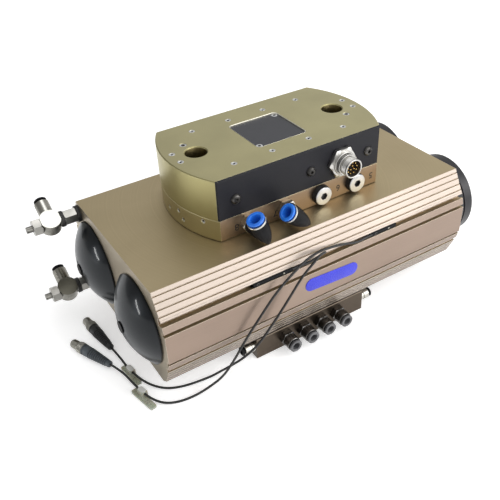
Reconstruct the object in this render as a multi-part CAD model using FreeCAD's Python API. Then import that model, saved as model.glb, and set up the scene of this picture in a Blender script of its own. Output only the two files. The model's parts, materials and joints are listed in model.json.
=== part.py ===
import FreeCAD, Part
import math
import os

V = FreeCAD.Vector

# Driving sizes in mm. The origin is on the swivel axis, level with the housing's underside.
# X runs along the housing, Y to its back, Z up.

# Rack and pinion
MODULE = 3.0
TEETH = 18
PRESSURE_ANGLE = math.radians(20)
SWING = math.radians(180)
BACKLASH = 0.5
GEAR_HEIGHT = 38.0
RACK_AXIS_OFFSET = 17.0
RACK_RELIEF = 5.0
RACK_SHOULDER = 4.2
PISTON_LENGTH = 20.0
STOP_GAP = 0.5

# Housing
HOUSING_LENGTH = 300.0
BORE_R = 30.0
BORE_HEIGHT = 45.0
TOP_WALL = 17.0
SIDE_WALL = 16.0
PANEL_RISE = 14.0
PANEL_DROP = 12.0
SHOULDER_INSET = 15.0
FOOT_INSET = 18.0
FINE_GROOVE = 0.9
SLOT_MOUTH = 3.8
SLOT_INSIDE = 6.4
SLOT_LIP = 1.6
SLOT_DEPTH = 5.6
SLOT_ABOVE_BORE = 24.6
BASE_HOLE_R = 3.4
BASE_HOLE_DEPTH = 11.0
BASE_HOLE_X = 125.0
BASE_HOLE_Y = 44.0

# Bearings and pinion shaft
UPPER_BEARING_R = 45.0
UPPER_JOURNAL_R = 35.0
UPPER_BEARING_HEIGHT = 11.0
LOWER_BEARING_R = 29.0
LOWER_JOURNAL_R = 22.5
LOWER_BEARING_HEIGHT = 7.0
BEARING_LIP = 3.5
SHAFT_BORE_R = 16.0
SPIGOT_R = 30.0
SPIGOT_HEIGHT = 4.4

# Head
HEAD_R = 92.7
HEAD_HALF_DEPTH = 51.0
PLATE_HEIGHT = 18.4
BLOCK_HEIGHT = 34.5
COVER_THICKNESS = 1.5
HEAD_CAVITY_R = 42.0
HEAD_ROOF = 7.5
HEAD_CHAMFER = 0.8
PLATE_CHAMFER = 0.6
LID_SIDE = 47.2
LID_CORNER_R = 3.0
LID_THICKNESS = 2.0
LID_HOLE_R = 16.0
OUTPUT_HOLE_X = 67.2
OUTPUT_HOLE_R = 5.5
OUTPUT_BORE_R = 9.0
OUTPUT_BORE_DEPTH = 12.0
PORT_PITCH = 35.0
PORT_R = 4.85
PORT_DEPTH = 12.0
SPINDLE_R = 14.0

# Connector on the front cover
CONNECTOR_X = 37.5
CONNECTOR_THREAD_R = 8.15
CONNECTOR_LENGTH = 17.5
CONNECTOR_TAIL_R = 7.5

# Elbows
ELBOW_R = 8.0
ELBOW_STEM_R = 5.0
ELBOW_REACH = 23.0
ELBOW_TUBE_R = 4.0
LEFT_ELBOW_TILT = math.radians(23.6)
RIGHT_ELBOW_TILT = math.radians(48)

# Ends
CAP_R = 38.0
DOME_RIM = 1.5
DOME_BULGE = 15.5
DOME_WALL = 3.0
DOME_HOLE_R = 4.0
FLAT_CAP_LENGTH = 24.0
ABSORBER_R = 10.0

# Flow-control valves, above and below the rear dome cap
VALVE_ANGLE = math.radians(52.5)
VALVE_SEAL_R = 7.4
VALVE_SHANK_R = 5.0
VALVE_BODY_R = 9.0
VALVE_STUB = 21.0
VALVE_TUBE_R = 3.0

# Manifold under the housing
MANIFOLD_HEIGHT = 21.5
MANIFOLD_X = -7.7
MANIFOLD_LENGTH = 114.5
MANIFOLD_FRONT = 76.0
MANIFOLD_BACK = 46.0
MANIFOLD_PORT_PITCH = 18.3
MANIFOLD_TUBE_R = 3.0
END_TUBE_R = 2.0

# Sensors and cables
SENSOR_SPANS = {"left": (-72.0, -36.0), "right": (45.0, 71.0)}
CABLE_R = 1.0
PLUG_GRIP = 32.5

# Clearances
RUNNING_FIT = 0.05
PISTON_FIT = 0.08
SEAT_FIT = 0.02
HEAD_GAP = 0.6
FACE_GAP = 0.3
RING_TRAVEL = 1.0
RING_BORE_GAP = 0.3
RING_WALL = 0.9
LID_GAP = 0.1
FLANGE_GAP = 2.5
CAP_TO_VALVE = 0.6

# Sizes worked out from the ones above
PITCH_R = MODULE * TEETH / 2
PITCH = math.pi * MODULE
TIP_R = PITCH_R + MODULE
ROOT_R = PITCH_R - 1.25 * MODULE
BASE_R = PITCH_R * math.cos(PRESSURE_ANGLE)
RACK_TRAVEL = PITCH_R * SWING
RACK_FLAT = RACK_TRAVEL / 2 + 2.7 * PITCH
RACK_HALF = RACK_FLAT + RACK_SHOULDER + PISTON_LENGTH
BORE_Y = PITCH_R + RACK_AXIS_OFFSET
HALF_LENGTH = HOUSING_LENGTH / 2
HALF_WIDTH = BORE_Y + BORE_R + SIDE_WALL
HEIGHT = BORE_HEIGHT + BORE_R + TOP_WALL
CAVITY_R = TIP_R + 1.0
STOP_X = RACK_TRAVEL / 2 + RACK_HALF + STOP_GAP
UPPER_SEAT = HEIGHT - UPPER_BEARING_HEIGHT - 0.5
LOWER_SEAT = LOWER_BEARING_HEIGHT + 4.0
CAVITY_TOP = UPPER_SEAT - 3.2
CAVITY_BOTTOM = LOWER_SEAT + 3.0
SLOT_Z = BORE_HEIGHT + SLOT_ABOVE_BORE
PLATE_BOTTOM = HEIGHT + HEAD_GAP
PLATE_TOP = PLATE_BOTTOM + PLATE_HEIGHT
HEAD_TOP = PLATE_TOP + BLOCK_HEIGHT
PORT_Z = PLATE_BOTTOM + PLATE_HEIGHT / 2
COVER_Z = PLATE_TOP + 15.0
FRONT = -HEAD_HALF_DEPTH
FLOOR = -MANIFOLD_HEIGHT
FITTING_Z = FLOOR / 2
X_AXIS = V(1, 0, 0)
Y_AXIS = V(0, 1, 0)
Z_AXIS = V(0, 0, 1)


# Shape helpers

def box(x0, x1, y0, y1, z0, z1):
    return Part.makeBox(x1 - x0, y1 - y0, z1 - z0, V(x0, y0, z0))


def placed(shape, origin, axis):
    """The shape with its own Z laid along the axis and its origin moved."""
    shape.Placement = FreeCAD.Placement(origin, FreeCAD.Rotation(Z_AXIS, axis))
    return shape


def rod(radius, start, end):
    return Part.makeCylinder(radius, (end - start).Length, start, end - start)


def turned(profile, origin, axis):
    """Solid of revolution. The profile lists (radius, distance along the axis)."""
    points = [V(radius, 0, along) for radius, along in profile]
    face = Part.Face(Part.makePolygon(points + points[:1]))
    return placed(face.revolve(V(), Z_AXIS, 360), origin, axis)


def hex_prism(flats, start, end):
    axis = end - start
    corner = flats / math.sqrt(3)
    points = [V(corner * math.cos(k * math.pi / 3), corner * math.sin(k * math.pi / 3), 0) for k in range(7)]
    return placed(Part.Face(Part.makePolygon(points)).extrude(V(0, 0, axis.Length)), start, axis)


def hex_nut(flats, start, end):
    """Hexagon with its corners turned off at both ends."""
    axis = end - start
    corner = flats / math.sqrt(3)
    slope = (corner - flats / 2) * math.tan(math.radians(30))
    length = axis.Length
    envelope = [
        (0, 0), (flats / 2, 0), (corner, slope), (corner, length - slope), (flats / 2, length), (0, length),
    ]
    return hex_prism(flats, start, end).common(turned(envelope, start, axis))


def fused(shapes):
    return shapes[0].multiFuse(shapes[1:]).removeSplitter()


def cut_all(shape, tools):
    return shape.cut(Part.makeCompound(tools)).removeSplitter()


def group(shapes):
    return Part.makeCompound(shapes)


def chamfer_edges(shape, size, wanted):
    return shape.makeChamfer(size, [edge for edge in shape.Edges if wanted(edge)])


def rounded_box(length, width, height, corner):
    """Box on the origin with rounded upright edges, centred on X and Y."""
    shape = box(-length / 2, length / 2, -width / 2, width / 2, 0, height)
    return shape.makeFillet(corner, [edge for edge in shape.Edges if edge.BoundBox.ZLength > height / 2])


# Push-in tube sockets: a bore for the tube, and a wider mouth in which the release ring slides

def tube_bore(tube_r):
    return tube_r + RUNNING_FIT


def mouth_radius(tube_r):
    return tube_bore(tube_r) + RING_BORE_GAP + RING_WALL + RUNNING_FIT


def socket_tools(tube_r, origin, axis, bottom, mouth, end):
    return [
        rod(tube_bore(tube_r), origin + axis * bottom, origin + axis * (end + 1)),
        rod(mouth_radius(tube_r), origin + axis * mouth, origin + axis * (end + 1)),
    ]


def socket_sleeve(tube_r, outer_r, rim, origin, axis, mouth, end):
    """Sleeve on the end of a socket, in which the release ring slides."""
    inner = mouth_radius(tube_r)
    profile = [(inner, mouth), (outer_r, mouth), (outer_r, end - rim), (outer_r - rim, end), (inner, end)]
    return turned(profile, origin, axis)


def release_ring(tube_r, flange_r, flange, origin, axis, mouth, end):
    inner = tube_bore(tube_r) + RING_BORE_GAP
    sleeve = inner + RING_WALL
    foot = mouth + RING_TRAVEL + FACE_GAP
    seat = end + RING_TRAVEL + FACE_GAP
    rim = 0.3
    profile = [
        (inner, foot), (sleeve, foot), (sleeve, seat), (flange_r - rim, seat), (flange_r, seat + rim),
        (flange_r, seat + flange - rim), (flange_r - rim, seat + flange), (inner + rim, seat + flange),
        (inner, seat + flange - rim),
    ]
    return turned(profile, origin, axis)


# Housing

SECTION = [
    (HALF_WIDTH - SHOULDER_INSET, HEIGHT),
    (HALF_WIDTH - 8.5, HEIGHT - 12.0),
    (HALF_WIDTH - 3.0, HEIGHT - 21.5),
    (HALF_WIDTH, BORE_HEIGHT + PANEL_RISE),
    (HALF_WIDTH, BORE_HEIGHT - PANEL_DROP),
    (HALF_WIDTH - 3.0, BORE_HEIGHT - 22.0),
    (HALF_WIDTH - 11.0, 5.0),
    (HALF_WIDTH - FOOT_INSET, 0.0),
]


def side_y(z):
    """Half width of the housing at a height."""
    for (y1, z1), (y0, z0) in zip(SECTION, SECTION[1:]):
        if z0 <= z <= z1:
            return y0 + (y1 - y0) * (z - z0) / (z1 - z0)
    return SECTION[0][0]


SLOT_FACE = side_y(SLOT_Z)


def long_groove(middle, width, depth):
    """Groove along both sides of the housing, cut level from the surface."""
    floor = side_y(middle) - depth
    low, high = middle - width / 2, middle + width / 2
    reach = HALF_LENGTH + 1
    outside = HALF_WIDTH + 1
    return [box(-reach, reach, floor, outside, low, high), box(-reach, reach, -outside, -floor, low, high)]


def housing_grooves():
    tools = []
    for drop in (3.2, 7.8, 12.4, 17.0):
        tools += long_groove(HEIGHT - drop, FINE_GROOVE, FINE_GROOVE)
    for rise in (8.0, 12.5, 17.0):
        tools += long_groove(rise, FINE_GROOVE, FINE_GROOVE)
    tools += long_groove(BORE_HEIGHT + 15.7, 2.6, 4.0)
    tools += long_groove(BORE_HEIGHT - 13.15, 2.3, 3.0)
    tools += long_groove(BORE_HEIGHT - 22.25, 3.5, 2.5)
    return tools


def sensor_slots():
    reach = HALF_LENGTH + 1
    inner, lip = SLOT_FACE - SLOT_DEPTH, SLOT_FACE - SLOT_LIP
    half_in, half_out = SLOT_INSIDE / 2, SLOT_MOUTH / 2
    tools = []
    for side in (-1, 1):
        wide = sorted((side * inner, side * lip))
        mouth = sorted((side * (lip - 1), side * (HALF_WIDTH + 1)))
        tools.append(box(-reach, reach, wide[0], wide[1], SLOT_Z - half_in, SLOT_Z + half_in))
        tools.append(box(-reach, reach, mouth[0], mouth[1], SLOT_Z - half_out, SLOT_Z + half_out))
    return tools


MANIFOLD_SCREW_R = 3.0
MANIFOLD_SCREW_TOP = 9.0
MANIFOLD_SCREW_X = MANIFOLD_LENGTH / 2 - 12.25
MANIFOLD_SCREW_FRONT = MANIFOLD_FRONT - 14.0
MANIFOLD_SCREW_BACK = MANIFOLD_BACK - 12.0
VALVE_PORT_DEPTH = 12.0
VALVE_OFFSET = CAP_R + CAP_TO_VALVE + VALVE_SEAL_R
VALVE_Y = BORE_Y + VALVE_OFFSET * math.cos(VALVE_ANGLE)


def valve_places():
    rise = VALVE_OFFSET * math.sin(VALVE_ANGLE)
    return {"upper": BORE_HEIGHT + rise, "lower": BORE_HEIGHT - rise}


def manifold_screw_places():
    columns = (MANIFOLD_X - MANIFOLD_SCREW_X, MANIFOLD_X + MANIFOLD_SCREW_X)
    return [(x, y) for x in columns for y in (-MANIFOLD_SCREW_FRONT, MANIFOLD_SCREW_BACK)]


def housing():
    outline = [V(-HALF_LENGTH, y, z) for y, z in SECTION] + [V(-HALF_LENGTH, -y, z) for y, z in SECTION[::-1]]
    body = Part.Face(Part.makePolygon(outline + outline[:1])).extrude(V(HOUSING_LENGTH, 0, 0))
    tools = housing_grooves() + sensor_slots()
    for side in (-1, 1):
        axis_point = V(-HALF_LENGTH - 1, side * BORE_Y, BORE_HEIGHT)
        tools.append(Part.makeCylinder(BORE_R, HOUSING_LENGTH + 2, axis_point, X_AXIS))
    tools.append(rod(UPPER_BEARING_R, V(0, 0, UPPER_SEAT), V(0, 0, HEIGHT + 1)))
    tools.append(rod(UPPER_BEARING_R - BEARING_LIP, V(0, 0, CAVITY_TOP), V(0, 0, HEIGHT)))
    tools.append(rod(CAVITY_R, V(0, 0, CAVITY_BOTTOM), V(0, 0, HEIGHT)))
    tools.append(rod(LOWER_BEARING_R - 3.0, V(0, 0, 0), V(0, 0, HEIGHT / 2)))
    tools.append(rod(LOWER_BEARING_R, V(0, 0, -1), V(0, 0, LOWER_SEAT)))
    for x in (-BASE_HOLE_X, BASE_HOLE_X):
        for y in (-BASE_HOLE_Y, BASE_HOLE_Y):
            tools.append(rod(BASE_HOLE_R, V(x, y, -1), V(x, y, BASE_HOLE_DEPTH)))
    for x, y in manifold_screw_places():
        tools.append(rod(MANIFOLD_SCREW_R, V(x, y, -1), V(x, y, MANIFOLD_SCREW_TOP)))
    for z in valve_places().values():
        start = V(-HALF_LENGTH - 1, VALVE_Y, z)
        tools.append(rod(VALVE_SHANK_R, start, start + X_AXIS * (VALVE_PORT_DEPTH + 1)))
    return cut_all(body, tools)


# Bearings. The rings reach to within a small gap of each other under their shields.

def bearing(inner_r, outer_r, bottom, top):
    """Outer ring and inner ring of a sealed bearing."""
    wall = (outer_r - inner_r) * 0.4
    shield = 1.0
    race = inner_r + wall + FACE_GAP
    outer_profile = [
        (race, bottom), (outer_r - SEAT_FIT, bottom), (outer_r - SEAT_FIT, top), (race, top),
        (race, top - shield), (outer_r - wall, top - shield), (outer_r - wall, bottom + shield),
        (race, bottom + shield),
    ]
    inner_profile = [
        (inner_r + SEAT_FIT, bottom), (inner_r + wall, bottom),
        (inner_r + wall, top), (inner_r + SEAT_FIT, top),
    ]
    return turned(outer_profile, V(), Z_AXIS), turned(inner_profile, V(), Z_AXIS)


# Pinion

def involute_half_angle(radius):
    """Half of a tooth's angle at a radius on its flank."""
    angle = math.acos(min(1.0, BASE_R / radius))
    at_base = math.pi / (2 * TEETH) + math.tan(PRESSURE_ANGLE) - PRESSURE_ANGLE
    return at_base - (math.tan(angle) - angle)


def polar(radius, angle):
    return V(radius * math.cos(angle), radius * math.sin(angle), 0)


def tooth_edges(centre):
    """One tooth and the root land after it, as lines and arcs."""
    middle_r = (BASE_R + TIP_R) / 2
    base, middle, tip = (involute_half_angle(r) for r in (BASE_R, middle_r, TIP_R))
    step = 2 * math.pi / TEETH
    root_in, root_out = polar(ROOT_R, centre - base), polar(ROOT_R, centre + base)
    base_in, base_out = polar(BASE_R, centre - base), polar(BASE_R, centre + base)
    tip_in, tip_out = polar(TIP_R, centre - tip), polar(TIP_R, centre + tip)
    next_root = polar(ROOT_R, centre + step - base)
    return [
        Part.LineSegment(root_in, base_in).toShape(),
        Part.Arc(base_in, polar(middle_r, centre - middle), tip_in).toShape(),
        Part.Arc(tip_in, polar(TIP_R, centre), tip_out).toShape(),
        Part.Arc(tip_out, polar(middle_r, centre + middle), base_out).toShape(),
        Part.LineSegment(base_out, root_out).toShape(),
        Part.Arc(root_out, polar(ROOT_R, centre + step / 2), next_root).toShape(),
    ]


def pinion():
    edges = []
    for tooth in range(TEETH):
        edges += tooth_edges(-math.pi / 2 + 2 * math.pi * tooth / TEETH)
    gear = Part.Face(Part.Wire(edges)).extrude(V(0, 0, GEAR_HEIGHT))
    gear_bottom = BORE_HEIGHT - GEAR_HEIGHT / 2
    gear.translate(V(0, 0, gear_bottom))
    lower_end = LOWER_SEAT - LOWER_BEARING_HEIGHT + 0.5
    shoulder = LOWER_SEAT + 0.2
    neck = ROOT_R - 0.25
    flange_bottom = CAVITY_TOP + 0.3
    shaft = turned([
        (0, lower_end), (LOWER_JOURNAL_R, lower_end), (LOWER_JOURNAL_R, shoulder),
        (LOWER_BEARING_R - 4.0, shoulder), (LOWER_BEARING_R - 4.0, shoulder + 2.3),
        (neck, shoulder + 2.3), (neck, gear_bottom + GEAR_HEIGHT + 4.0),
        (UPPER_JOURNAL_R - 10.0, gear_bottom + GEAR_HEIGHT + 4.0), (UPPER_JOURNAL_R - 10.0, flange_bottom),
        (UPPER_JOURNAL_R + 3.0, flange_bottom), (UPPER_JOURNAL_R + 3.0, UPPER_SEAT),
        (UPPER_JOURNAL_R, UPPER_SEAT),
        (UPPER_JOURNAL_R, PLATE_BOTTOM), (SPIGOT_R - SEAT_FIT, PLATE_BOTTOM),
        (SPIGOT_R - SEAT_FIT, PLATE_BOTTOM + SPIGOT_HEIGHT), (0, PLATE_BOTTOM + SPIGOT_HEIGHT),
    ], V(), Z_AXIS)
    return fused([shaft, gear]).cut(rod(SHAFT_BORE_R, V(0, 0, 0), V(0, 0, PLATE_TOP)))


# Piston racks. side is -1 for the front bore and 1 for the rear one; at rest each stands at one end.

SEAL_GROOVE_R = BORE_R - 3.5
SEAL_WIDTH = 4.0


def piston_middles(centre):
    reach = RACK_HALF - PISTON_LENGTH / 2
    return centre - reach, centre + reach


def bore_rod(radius, side, middle, half):
    """Round bar on the axis of one bore."""
    start = V(middle - half, side * BORE_Y, BORE_HEIGHT)
    return Part.makeCylinder(radius, 2 * half, start, X_AXIS)


def rack(side):
    centre = side * RACK_TRAVEL / 2
    solids = [bore_rod(BORE_R - RACK_RELIEF, side, centre, RACK_HALF)]
    tools = []
    for x in piston_middles(centre):
        solids.append(bore_rod(BORE_R - PISTON_FIT, side, x, PISTON_LENGTH / 2))
        groove = bore_rod(BORE_R + 1, side, x, SEAL_WIDTH / 2)
        tools.append(groove.cut(bore_rod(SEAL_GROOVE_R, side, x, SEAL_WIDTH / 2)))
    tip_y = side * (PITCH_R - MODULE)
    flat = sorted((0.0, tip_y))
    low, high = BORE_HEIGHT - BORE_R, BORE_HEIGHT + BORE_R
    tools.append(box(centre - RACK_FLAT, centre + RACK_FLAT, flat[0], flat[1], low, high))
    odd_shift = PITCH / 2 if side > 0 and TEETH % 2 else 0.0
    gaps = round(RACK_TRAVEL / PITCH) + 5
    for index in range(gaps):
        place = -side * (RACK_TRAVEL / 2 + (2 - index) * PITCH) + odd_shift
        tools.append(rack_gap(centre + place, side, low, high))
    return cut_all(fused(solids), tools)


def rack_gap(x, side, low, high):
    """The space between two rack teeth."""
    slope = math.tan(PRESSURE_ANGLE)
    half = PITCH / 4 + BACKLASH / 2
    root, open_end = PITCH_R + 1.25 * MODULE, PITCH_R - MODULE - 1.0
    at_root, at_open = half - (root - PITCH_R) * slope, half + (PITCH_R - open_end) * slope
    points = [
        V(x - at_open, side * open_end, low), V(x + at_open, side * open_end, low),
        V(x + at_root, side * root, low), V(x - at_root, side * root, low),
    ]
    return Part.Face(Part.makePolygon(points + points[:1])).extrude(V(0, 0, high - low))


def rack_seals(side):
    rings = []
    for x in piston_middles(side * RACK_TRAVEL / 2):
        half = SEAL_WIDTH / 2 - 0.1
        profile = [
            (SEAL_GROOVE_R, -half), (BORE_R - RUNNING_FIT, -half),
            (BORE_R - RUNNING_FIT, half), (SEAL_GROOVE_R, half),
        ]
        rings.append(turned(profile, V(x, side * BORE_Y, BORE_HEIGHT), X_AXIS))
    return group(rings)


# Ends of the housing

PLUG_FLANGE = 3.0
PLUG_FLANGE_R = CAP_R - DOME_WALL - FLANGE_GAP


def left_end_plugs():
    plugs = []
    for side in (-1, 1):
        profile = [
            (ABSORBER_R + SEAT_FIT, -STOP_X + HALF_LENGTH), (BORE_R - RUNNING_FIT, -STOP_X + HALF_LENGTH),
            (BORE_R - RUNNING_FIT, 0), (PLUG_FLANGE_R, 0), (PLUG_FLANGE_R, -PLUG_FLANGE),
            (ABSORBER_R + SEAT_FIT, -PLUG_FLANGE),
        ]
        plugs.append(turned(profile, V(-HALF_LENGTH, side * BORE_Y, BORE_HEIGHT), X_AXIS))
    return group(plugs)


def shock_absorbers():
    bodies = []
    tip = HALF_LENGTH - STOP_X + STOP_GAP - 0.2
    for side in (-1, 1):
        profile = [
            (0, tip), (4.0, tip), (4.0, HALF_LENGTH - STOP_X - 1.0), (ABSORBER_R, HALF_LENGTH - STOP_X - 1.0),
            (ABSORBER_R, -PLUG_FLANGE), (ABSORBER_R + 2.5, -PLUG_FLANGE),
            (ABSORBER_R + 2.5, -PLUG_FLANGE - 3.0),
            (ABSORBER_R, -PLUG_FLANGE - 3.0), (ABSORBER_R, -PLUG_FLANGE - 8.0), (0, -PLUG_FLANGE - 8.0),
        ]
        bodies.append(turned(profile, V(-HALF_LENGTH, side * BORE_Y, BORE_HEIGHT), X_AXIS))
    return group(bodies)


def dome_arc(radius, rim, height):
    """Arc of a shallow dome from its rim to its top, in the plane of a turned profile."""
    sphere_r = (radius ** 2 + height ** 2) / (2 * height)
    half_angle = math.asin(radius / sphere_r) / 2
    middle = V(sphere_r * math.sin(half_angle), 0, rim + height - sphere_r * (1 - math.cos(half_angle)))
    return Part.Arc(V(radius, 0, rim), middle, V(0, 0, rim + height)).toShape()


def dome_solid(radius, rim, height):
    edges = [
        Part.LineSegment(V(0, 0, 0), V(radius, 0, 0)).toShape(),
        Part.LineSegment(V(radius, 0, 0), V(radius, 0, rim)).toShape(),
        dome_arc(radius, rim, height),
        Part.LineSegment(V(0, 0, rim + height), V(0, 0, 0)).toShape(),
    ]
    return Part.Face(Part.Wire(edges)).revolve(V(), Z_AXIS, 360)


def dome_cap(side):
    centre = V(-HALF_LENGTH, side * BORE_Y, BORE_HEIGHT)
    hollow = dome_solid(CAP_R - DOME_WALL, DOME_RIM, DOME_BULGE - DOME_WALL)
    shell = placed(dome_solid(CAP_R, DOME_RIM, DOME_BULGE).cut(hollow), centre, -X_AXIS)
    hole = centre + V(0, 15.8, -18.4)
    return shell.cut(rod(DOME_HOLE_R, hole - X_AXIS * 40, hole - X_AXIS * 5))


def flat_cap(side):
    spigot = HALF_LENGTH - STOP_X
    chamfer = 2.0
    profile = [
        (0, -spigot), (BORE_R - RUNNING_FIT, -spigot), (BORE_R - RUNNING_FIT, 0), (CAP_R, 0), (CAP_R, 4.0),
        (CAP_R - 1.2, 4.0), (CAP_R - 1.2, 5.5), (CAP_R, 5.5), (CAP_R, 11.5), (CAP_R - 1.2, 11.5),
        (CAP_R - 1.2, 13.0), (CAP_R, 13.0), (CAP_R, FLAT_CAP_LENGTH - chamfer),
        (CAP_R - chamfer, FLAT_CAP_LENGTH), (0, FLAT_CAP_LENGTH),
    ]
    return turned(profile, V(HALF_LENGTH, side * BORE_Y, BORE_HEIGHT), X_AXIS)


# Head

def head_slice(y_front, y_back, bottom, top):
    disc = rod(HEAD_R, V(0, 0, bottom), V(0, 0, top))
    return disc.common(box(-HEAD_R, HEAD_R, y_front, y_back, bottom, top))


def port_places():
    return [PORT_PITCH * k for k in (-1.5, -0.5, 0.5, 1.5)]


OUTPUT_HOLE_DEPTH = 15.0
PLATE_PLUG_R = 2.1
PLATE_PLUG_DEPTH = 6.0
PLATE_PLUGS = [(176.0, 8.1), (185.9, 12.6), (189.4, 6.6), (203.7, 14.4)]


def plate_plug_axes():
    """Outer end and inward direction of each small plug on the plate's round side."""
    places = []
    for degrees, rise in PLATE_PLUGS:
        outward = polar(1.0, math.radians(degrees))
        places.append((outward * HEAD_R + V(0, 0, PLATE_BOTTOM + rise), -outward))
    return places


def distributor_plate():
    body = head_slice(FRONT, HEAD_HALF_DEPTH, PLATE_BOTTOM, PLATE_TOP)
    body = chamfer_edges(body, PLATE_CHAMFER, lambda edge: edge.BoundBox.ZMin > PLATE_TOP - 0.01
                         and edge.BoundBox.XLength < HEAD_R)
    tools = [
        rod(SPINDLE_R + RUNNING_FIT, V(0, 0, PLATE_BOTTOM - 1), V(0, 0, PLATE_TOP + 1)),
        rod(SPIGOT_R, V(0, 0, PLATE_BOTTOM - 1), V(0, 0, PLATE_BOTTOM + SPIGOT_HEIGHT)),
    ]
    for x in port_places():
        tools.append(rod(PORT_R, V(x, FRONT - 1, PORT_Z), V(x, FRONT + PORT_DEPTH, PORT_Z)))
    for x in (-OUTPUT_HOLE_X, OUTPUT_HOLE_X):
        tools.append(rod(OUTPUT_HOLE_R, V(x, 0, PLATE_TOP - OUTPUT_HOLE_DEPTH), V(x, 0, PLATE_TOP + 1)))
    for outer, inward in plate_plug_axes():
        tools.append(rod(PLATE_PLUG_R, outer - inward, outer + inward * PLATE_PLUG_DEPTH))
    return cut_all(body, tools)


def plate_plugs():
    plugs = []
    for outer, inward in plate_plug_axes():
        plug = rod(PLATE_PLUG_R - SEAT_FIT, outer + inward * 0.5, outer + inward * PLATE_PLUG_DEPTH)
        plugs.append(plug.cut(hex_prism(2.0, outer, outer + inward * 2.0)))
    return group(plugs)


HEAD_SCREW_R = 2.1
HEAD_SCREW_DEPTH = 9.0
HEAD_SCREW_RECESS = 0.2
HEAD_DOWEL_R = 3.0
HEAD_DOWELS = [(-70.0, 16.5), (70.0, -16.5)]
HEAD_SCREW_Y = 34.0
HEAD_END_SCREW_X = HEAD_R - 8.2
HEAD_END_SCREW_Y = 7.5
LID_SCREW_X = LID_SIDE / 2 - 3.1
LID_SCREW_Y = LID_SIDE / 2 - 3.6
LID_SCREWS = [(LID_SCREW_X, LID_SCREW_Y), (-LID_SCREW_X, -LID_SCREW_Y)]
POCKET_CHAMFER = 0.5
LID_SCREW_R = 1.5
LID_SCREW_HEAD_R = 2.4
COVER_SCREWS_X = [-62.5, 7.5, 66.0]
COVER_SCREW_R = 1.5
COVER_SCREW_LENGTH = 9.0


def head_screw_places():
    rows = [(x, y) for x in port_places() for y in (-HEAD_SCREW_Y, HEAD_SCREW_Y)]
    end_x, end_y = HEAD_END_SCREW_X, HEAD_END_SCREW_Y
    return rows + [(x, y) for x in (-end_x, end_x) for y in (-end_y, end_y)]


def head_block():
    back_of_cover = FRONT + COVER_THICKNESS
    body = head_slice(back_of_cover, HEAD_HALF_DEPTH, PLATE_TOP, HEAD_TOP)
    body = chamfer_edges(body, HEAD_CHAMFER, lambda edge: edge.BoundBox.ZMin > HEAD_TOP - 0.01
                         and edge.BoundBox.YMax > back_of_cover + 0.01)
    pocket_side = LID_SIDE + 2 * LID_GAP
    pocket = rounded_box(pocket_side, pocket_side, LID_THICKNESS + 1, LID_CORNER_R + LID_GAP)
    pocket.translate(V(0, 0, HEAD_TOP - LID_THICKNESS))
    body = chamfer_edges(body.cut(pocket), POCKET_CHAMFER, lambda edge: edge.BoundBox.ZMin > HEAD_TOP - 0.01
                         and edge.BoundBox.XMax < pocket_side and edge.BoundBox.XMin > -pocket_side)
    tools = [
        rod(HEAD_CAVITY_R, V(0, 0, PLATE_TOP - 1), V(0, 0, HEAD_TOP - HEAD_ROOF)),
        rod(LID_HOLE_R, V(0, 0, PLATE_TOP), V(0, 0, HEAD_TOP)),
        rod(CONNECTOR_TAIL_R + FACE_GAP, V(CONNECTOR_X, FRONT, COVER_Z), V(CONNECTOR_X, 0, COVER_Z)),
    ]
    for x in (-OUTPUT_HOLE_X, OUTPUT_HOLE_X):
        seat = HEAD_TOP - OUTPUT_BORE_DEPTH
        tools.append(rod(OUTPUT_HOLE_R, V(x, 0, PLATE_TOP - 1), V(x, 0, HEAD_TOP)))
        tools.append(turned([
            (0, seat), (OUTPUT_BORE_R, seat), (OUTPUT_BORE_R, HEAD_TOP - HEAD_CHAMFER),
            (OUTPUT_BORE_R + 2 * HEAD_CHAMFER, HEAD_TOP + HEAD_CHAMFER), (0, HEAD_TOP + HEAD_CHAMFER),
        ], V(x, 0, 0), Z_AXIS))
    for x, y in head_screw_places():
        tools.append(rod(HEAD_SCREW_R, V(x, y, HEAD_TOP - HEAD_SCREW_DEPTH), V(x, y, HEAD_TOP + 1)))
    for x, y in HEAD_DOWELS:
        tools.append(rod(HEAD_DOWEL_R, V(x, y, HEAD_TOP - HEAD_SCREW_DEPTH), V(x, y, HEAD_TOP + 1)))
    for x, y in LID_SCREWS:
        tools.append(rod(LID_SCREW_R, V(x, y, HEAD_TOP - HEAD_ROOF + 1.0), V(x, y, HEAD_TOP)))
    for x in COVER_SCREWS_X:
        tools.append(rod(COVER_SCREW_R, V(x, FRONT, COVER_Z), V(x, FRONT + COVER_SCREW_LENGTH, COVER_Z)))
    return cut_all(body, tools)


def head_screws():
    screws = []
    for x, y in head_screw_places():
        shank = rod(HEAD_SCREW_R - SEAT_FIT, V(x, y, HEAD_TOP - HEAD_SCREW_DEPTH),
                    V(x, y, HEAD_TOP - HEAD_SCREW_RECESS))
        screws.append(shank.cut(hex_prism(2.0, V(x, y, HEAD_TOP - 2.4), V(x, y, HEAD_TOP))))
    return group(screws)


def head_dowels():
    return group([
        rod(HEAD_DOWEL_R - SEAT_FIT, V(x, y, HEAD_TOP - HEAD_SCREW_DEPTH), V(x, y, HEAD_TOP - 0.3))
        for x, y in HEAD_DOWELS
    ])


def lid_screw_cone(x, y, extra):
    return turned([
        (0, HEAD_TOP - LID_THICKNESS), (LID_SCREW_R + extra, HEAD_TOP - LID_THICKNESS),
        (LID_SCREW_R + extra, HEAD_TOP - 1.2), (LID_SCREW_HEAD_R + extra, HEAD_TOP - 0.2),
        (LID_SCREW_HEAD_R + extra, HEAD_TOP), (0, HEAD_TOP),
    ], V(x, y, 0), Z_AXIS)


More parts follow.
